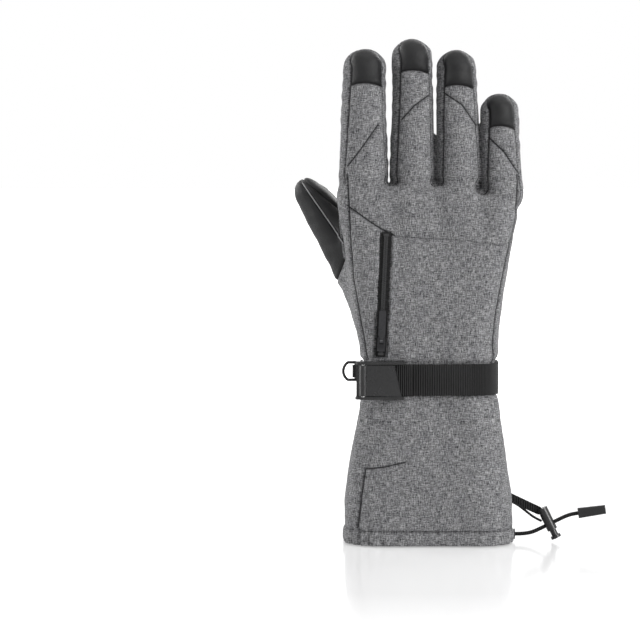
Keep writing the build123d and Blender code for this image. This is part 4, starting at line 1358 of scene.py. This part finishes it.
@dataclass
class Stitching:
    """Rows of topstitching and the piping on the thumb, laid on the shell."""

    shop: Workshop
    shell: tuple[Array, Array]
    stitch: float = 2.3
    gap: float = 0.9
    thread: float = 0.32

    def __post_init__(self) -> None:
        """Prepares the shell for finding the surface."""
        points, tris = self.shell
        self.tree = BVHTree.FromPolygons(points.tolist(), tris.tolist())

    def on_surface(self, x: float, z: float, side: Side) -> tuple[Vector, Vector] | None:
        """Where a line along Y first meets the shell from outside, and the normal there."""
        start = Vector((x, 80.0 * side.value, z))
        hit, normal, _, _ = self.tree.ray_cast(start, Vector((0, -side.value, 0)))
        return None if hit is None else (hit, normal)

    def walk(self, line: list, side: Side, spacing: float) -> list:
        """Evenly spaced surface points along a line in the X-Z plane."""
        found = []
        for (x0, z0), (x1, z1) in zip(line, line[1:]):
            steps = max(1, round(math.hypot(x1 - x0, z1 - z0) / spacing))
            for k in range(steps):
                t = k / steps
                place = self.on_surface(x0 + (x1 - x0) * t, z0 + (z1 - z0) * t, side)
                if place:
                    found.append(place)
        return found

    def tube(self, path: list, radius: float, points: list, faces: list, lift: float) -> None:
        """Adds a thin closed tube along surface points."""
        rim = 6
        base = len(points)
        places = [hit + normal * lift for hit, normal in path]
        for i, (place, (_, normal)) in enumerate(zip(places, path)):
            ahead = places[min(i + 1, len(places) - 1)] - places[max(i - 1, 0)]
            side = ahead.cross(normal).normalized()
            up = side.cross(ahead).normalized()
            taper = 0.55 if i in (0, len(places) - 1) else 1.0
            for k in range(rim):
                a = 2 * math.pi * k / rim
                points.append(place + (side * math.cos(a) + up * math.sin(a)) * radius * taper)
        for i in range(len(places) - 1):
            for k in range(rim):
                n = (k + 1) % rim
                a = base + i * rim
                faces.append((a + k, a + n, a + rim + n, a + rim + k))

    def row(self, name: str, line: list, side: Side, body: str, tone: bpy.types.Material) -> None:
        """One row of topstitching."""
        dense = self.walk(line, side, 0.55)
        per = max(2, round(self.stitch / 0.55))
        skip = max(1, round(self.gap / 0.55))
        points, faces = [], []
        at = 0
        while at + per < len(dense):
            self.tube(dense[at:at + per + 1], self.thread / 2, points, faces, 0.05)
            at += per + skip
        if not faces:
            return
        piece = new_mesh(name, np.array([tuple(p) for p in points]), np.array(faces))
        dress(piece, tone)
        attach(piece, body)
        LOG.info("%s: %d faces", name, len(faces))

    def build(self, pattern: Pattern) -> None:
        """Lays every row."""
        grey = Moulded(colour=(0.30, 0.30, 0.31), rough=0.6, shine=0.2).material("grey_thread", self.shop)
        black = Moulded(rough=0.5, shine=0.3).material("black_thread", self.shop)
        # The piping is real, but its light grey colour is partly a painted highlight along the thumb seam.
        piping_with_painted_highlight = Moulded(colour=(0.42, 0.42, 0.43), rough=0.4).material("piping_painted_highlight", self.shop)
        knuckle = [(x, z - 2.6) for x, z in pattern.knuckle_seam[2:-1]]
        self.row("knuckle_topstitch", knuckle, Side.BACK, "hand", grey)
        cuff = [(x + 2.0, z - 2.0) for x, z in pattern.cuff_seam]
        self.row("cuff_topstitch", cuff, Side.BACK, "hand", grey)
        low, high = box_mm("zip_tape")
        for number, shift in enumerate((-5.6, 5.6)):
            line = [(low[0] + 3.35 + shift, low[2] - 2), (high[0] - 3.35 + shift, high[2] - 1.0)]
            self.row(f"zip_topstitch_{number + 1}", line, Side.BACK, "hand", grey)
        for number, shape in enumerate((pattern.knuckle_patch, pattern.crescent_patch, pattern.heel_patch)):
            self.row(f"patch_topstitch_{number + 1}", shape + shape[:1], Side.PALM, "hand", black)
        self.piping("thumb_piping", [(-53.8, 190.5), (-81.2, 229.6)], piping_with_painted_highlight)

    def piping(self, name: str, line: list, material: bpy.types.Material) -> None:
        """The piped seam down the back of the thumb; its light grey colour is partly a painted highlight."""
        points, faces = [], []
        self.tube(self.walk(line, Side.BACK, 1.2), 0.42, points, faces, 0.55)
        piece = new_mesh(name, np.array([tuple(p) for p in points]), np.array(faces))
        dress(piece, material)
        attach(piece, "thumb")
        LOG.info("%s: %d faces", name, len(faces))


@dataclass
class Studio:
    """The pale floor, the soft lamps and the camera."""

    span: float = 0.4096
    centre_x: float = -0.0691
    centre_z: float = 0.1421
    distance: float = 2.6
    elevation: float = 4.0
    sensor: float = 36.0
    ambient: float = 0.12

    def camera(self) -> None:
        """A long lens, low and square to the back of the hand."""
        data = bpy.data.cameras.new("camera")
        data.sensor_width = self.sensor
        data.lens = self.sensor * self.distance / self.span
        data.clip_end = 50.0
        camera = bpy.data.objects.new("camera", data)
        rise = math.radians(self.elevation)
        aim = Vector((self.centre_x, 0.0, self.centre_z))
        camera.location = aim + Vector((0, -math.cos(rise), math.sin(rise))) * self.distance
        camera.rotation_euler = (math.pi / 2 - rise, 0, 0)
        bpy.context.scene.collection.objects.link(camera)
        bpy.context.scene.camera = camera

    def lamp(self, name: str, place: tuple, aim: tuple, size: tuple, power: float) -> None:
        """A rectangular soft lamp."""
        data = bpy.data.lights.new(name, "AREA")
        data.shape = "RECTANGLE"
        data.size, data.size_y = size
        data.energy = power
        lamp = bpy.data.objects.new(name, data)
        lamp.location = place
        lamp.rotation_euler = (Vector(aim) - Vector(place)).to_track_quat("-Z", "Y").to_euler()
        bpy.context.scene.collection.objects.link(lamp)

    def floor(self) -> None:
        """A pale, faintly shining floor."""
        size = 6.0
        mesh = bpy.data.meshes.new("floor")
        mesh.from_pydata([(-size, -size, 0), (size, -size, 0), (size, size, 0), (-size, size, 0)], [], [(0, 1, 2, 3)])
        floor = bpy.data.objects.new("floor", mesh)
        bpy.context.scene.collection.objects.link(floor)
        material = bpy.data.materials.new("pale_floor")
        material.use_nodes = True
        build = NodeBuilder(material.node_tree)
        shader = material.node_tree.nodes["Principled BSDF"]
        shader.inputs["Base Color"].default_value = (0.9, 0.9, 0.9, 1)
        shader.inputs["Roughness"].default_value = 0.12
        shader.inputs["Specular IOR Level"].default_value = 0.35
        coords = build.add("ShaderNodeTexCoord")
        reach = build.add("ShaderNodeVectorMath", operation="LENGTH")
        build.join(coords.outputs["Object"], reach.inputs[0])
        spread = build.add("ShaderNodeMapRange")
        build.join(reach.outputs["Value"], spread.inputs["Value"])
        for name, value in (("From Min", 0.25), ("From Max", 0.8), ("To Min", 0.38), ("To Max", 1.0)):
            spread.inputs[name].default_value = value
        rays = build.add("ShaderNodeLightPath")
        seen = build.math("MAXIMUM", rays.outputs["Is Camera Ray"], rays.outputs["Is Transmission Ray"])
        glow = build.math("MULTIPLY", seen, spread.outputs["Result"])
        shader.inputs["Emission Color"].default_value = (1, 1, 1, 1)
        build.join(glow, shader.inputs["Emission Strength"])
        mesh.materials.append(material)

    def light(self) -> None:
        """A large key at the right, a weaker one at the left and a soft top."""
        self.lamp("key", (1.5, -1.25, 0.75), (0, 0, 0.15), (0.8, 1.2), 30.0)
        self.lamp("rim", (-1.7, -0.1, 0.6), (0, 0, 0.15), (0.7, 1.2), 15.0)
        self.lamp("top", (0.2, -0.2, 1.7), (0, 0, 0.1), (0.9, 0.9), 5.0)
        self.lamp("behind", (0.9, 1.5, 0.9), (0, 0, 0.15), (1.0, 1.0), 12.0)
        self.lamp("behind_left", (-1.4, 1.3, 0.8), (0, 0, 0.15), (0.8, 1.0), 9.0)
        world = bpy.data.worlds.new("studio")
        world.use_nodes = True
        build = NodeBuilder(world.node_tree)
        back = world.node_tree.nodes["Background"]
        rays = build.add("ShaderNodeLightPath")
        seen = build.math("MAXIMUM", rays.outputs["Is Camera Ray"], rays.outputs["Is Glossy Ray"])
        seen = build.math("MAXIMUM", seen, rays.outputs["Is Transmission Ray"])
        strength = build.math("ADD", build.math("MULTIPLY", seen, 1.0 - self.ambient), self.ambient)
        back.inputs["Color"].default_value = (1, 1, 1, 1)
        build.join(strength, back.inputs["Strength"])
        bpy.context.scene.world = world

    def build(self) -> None:
        """Sets up the whole studio."""
        bpy.context.scene.view_settings.view_transform = "Standard"
        self.camera()
        self.floor()
        self.light()


def main() -> None:
    """Builds the studio, the cords, the hardware, the shell, the zip teeth and the stitching, in that order."""
    logging.basicConfig(level=logging.INFO, format="%(name)s: %(message)s")
    Studio().build()
    shop = Workshop()
    Drawcord(shop).build()
    Hardware(shop).build()
    shell = Shell(shop)
    surface = shell.build()
    ZipTeeth(shop).build()
    Stitching(shop, surface).build(Pattern(shell.form))


if __name__ == "__main__":
    main()
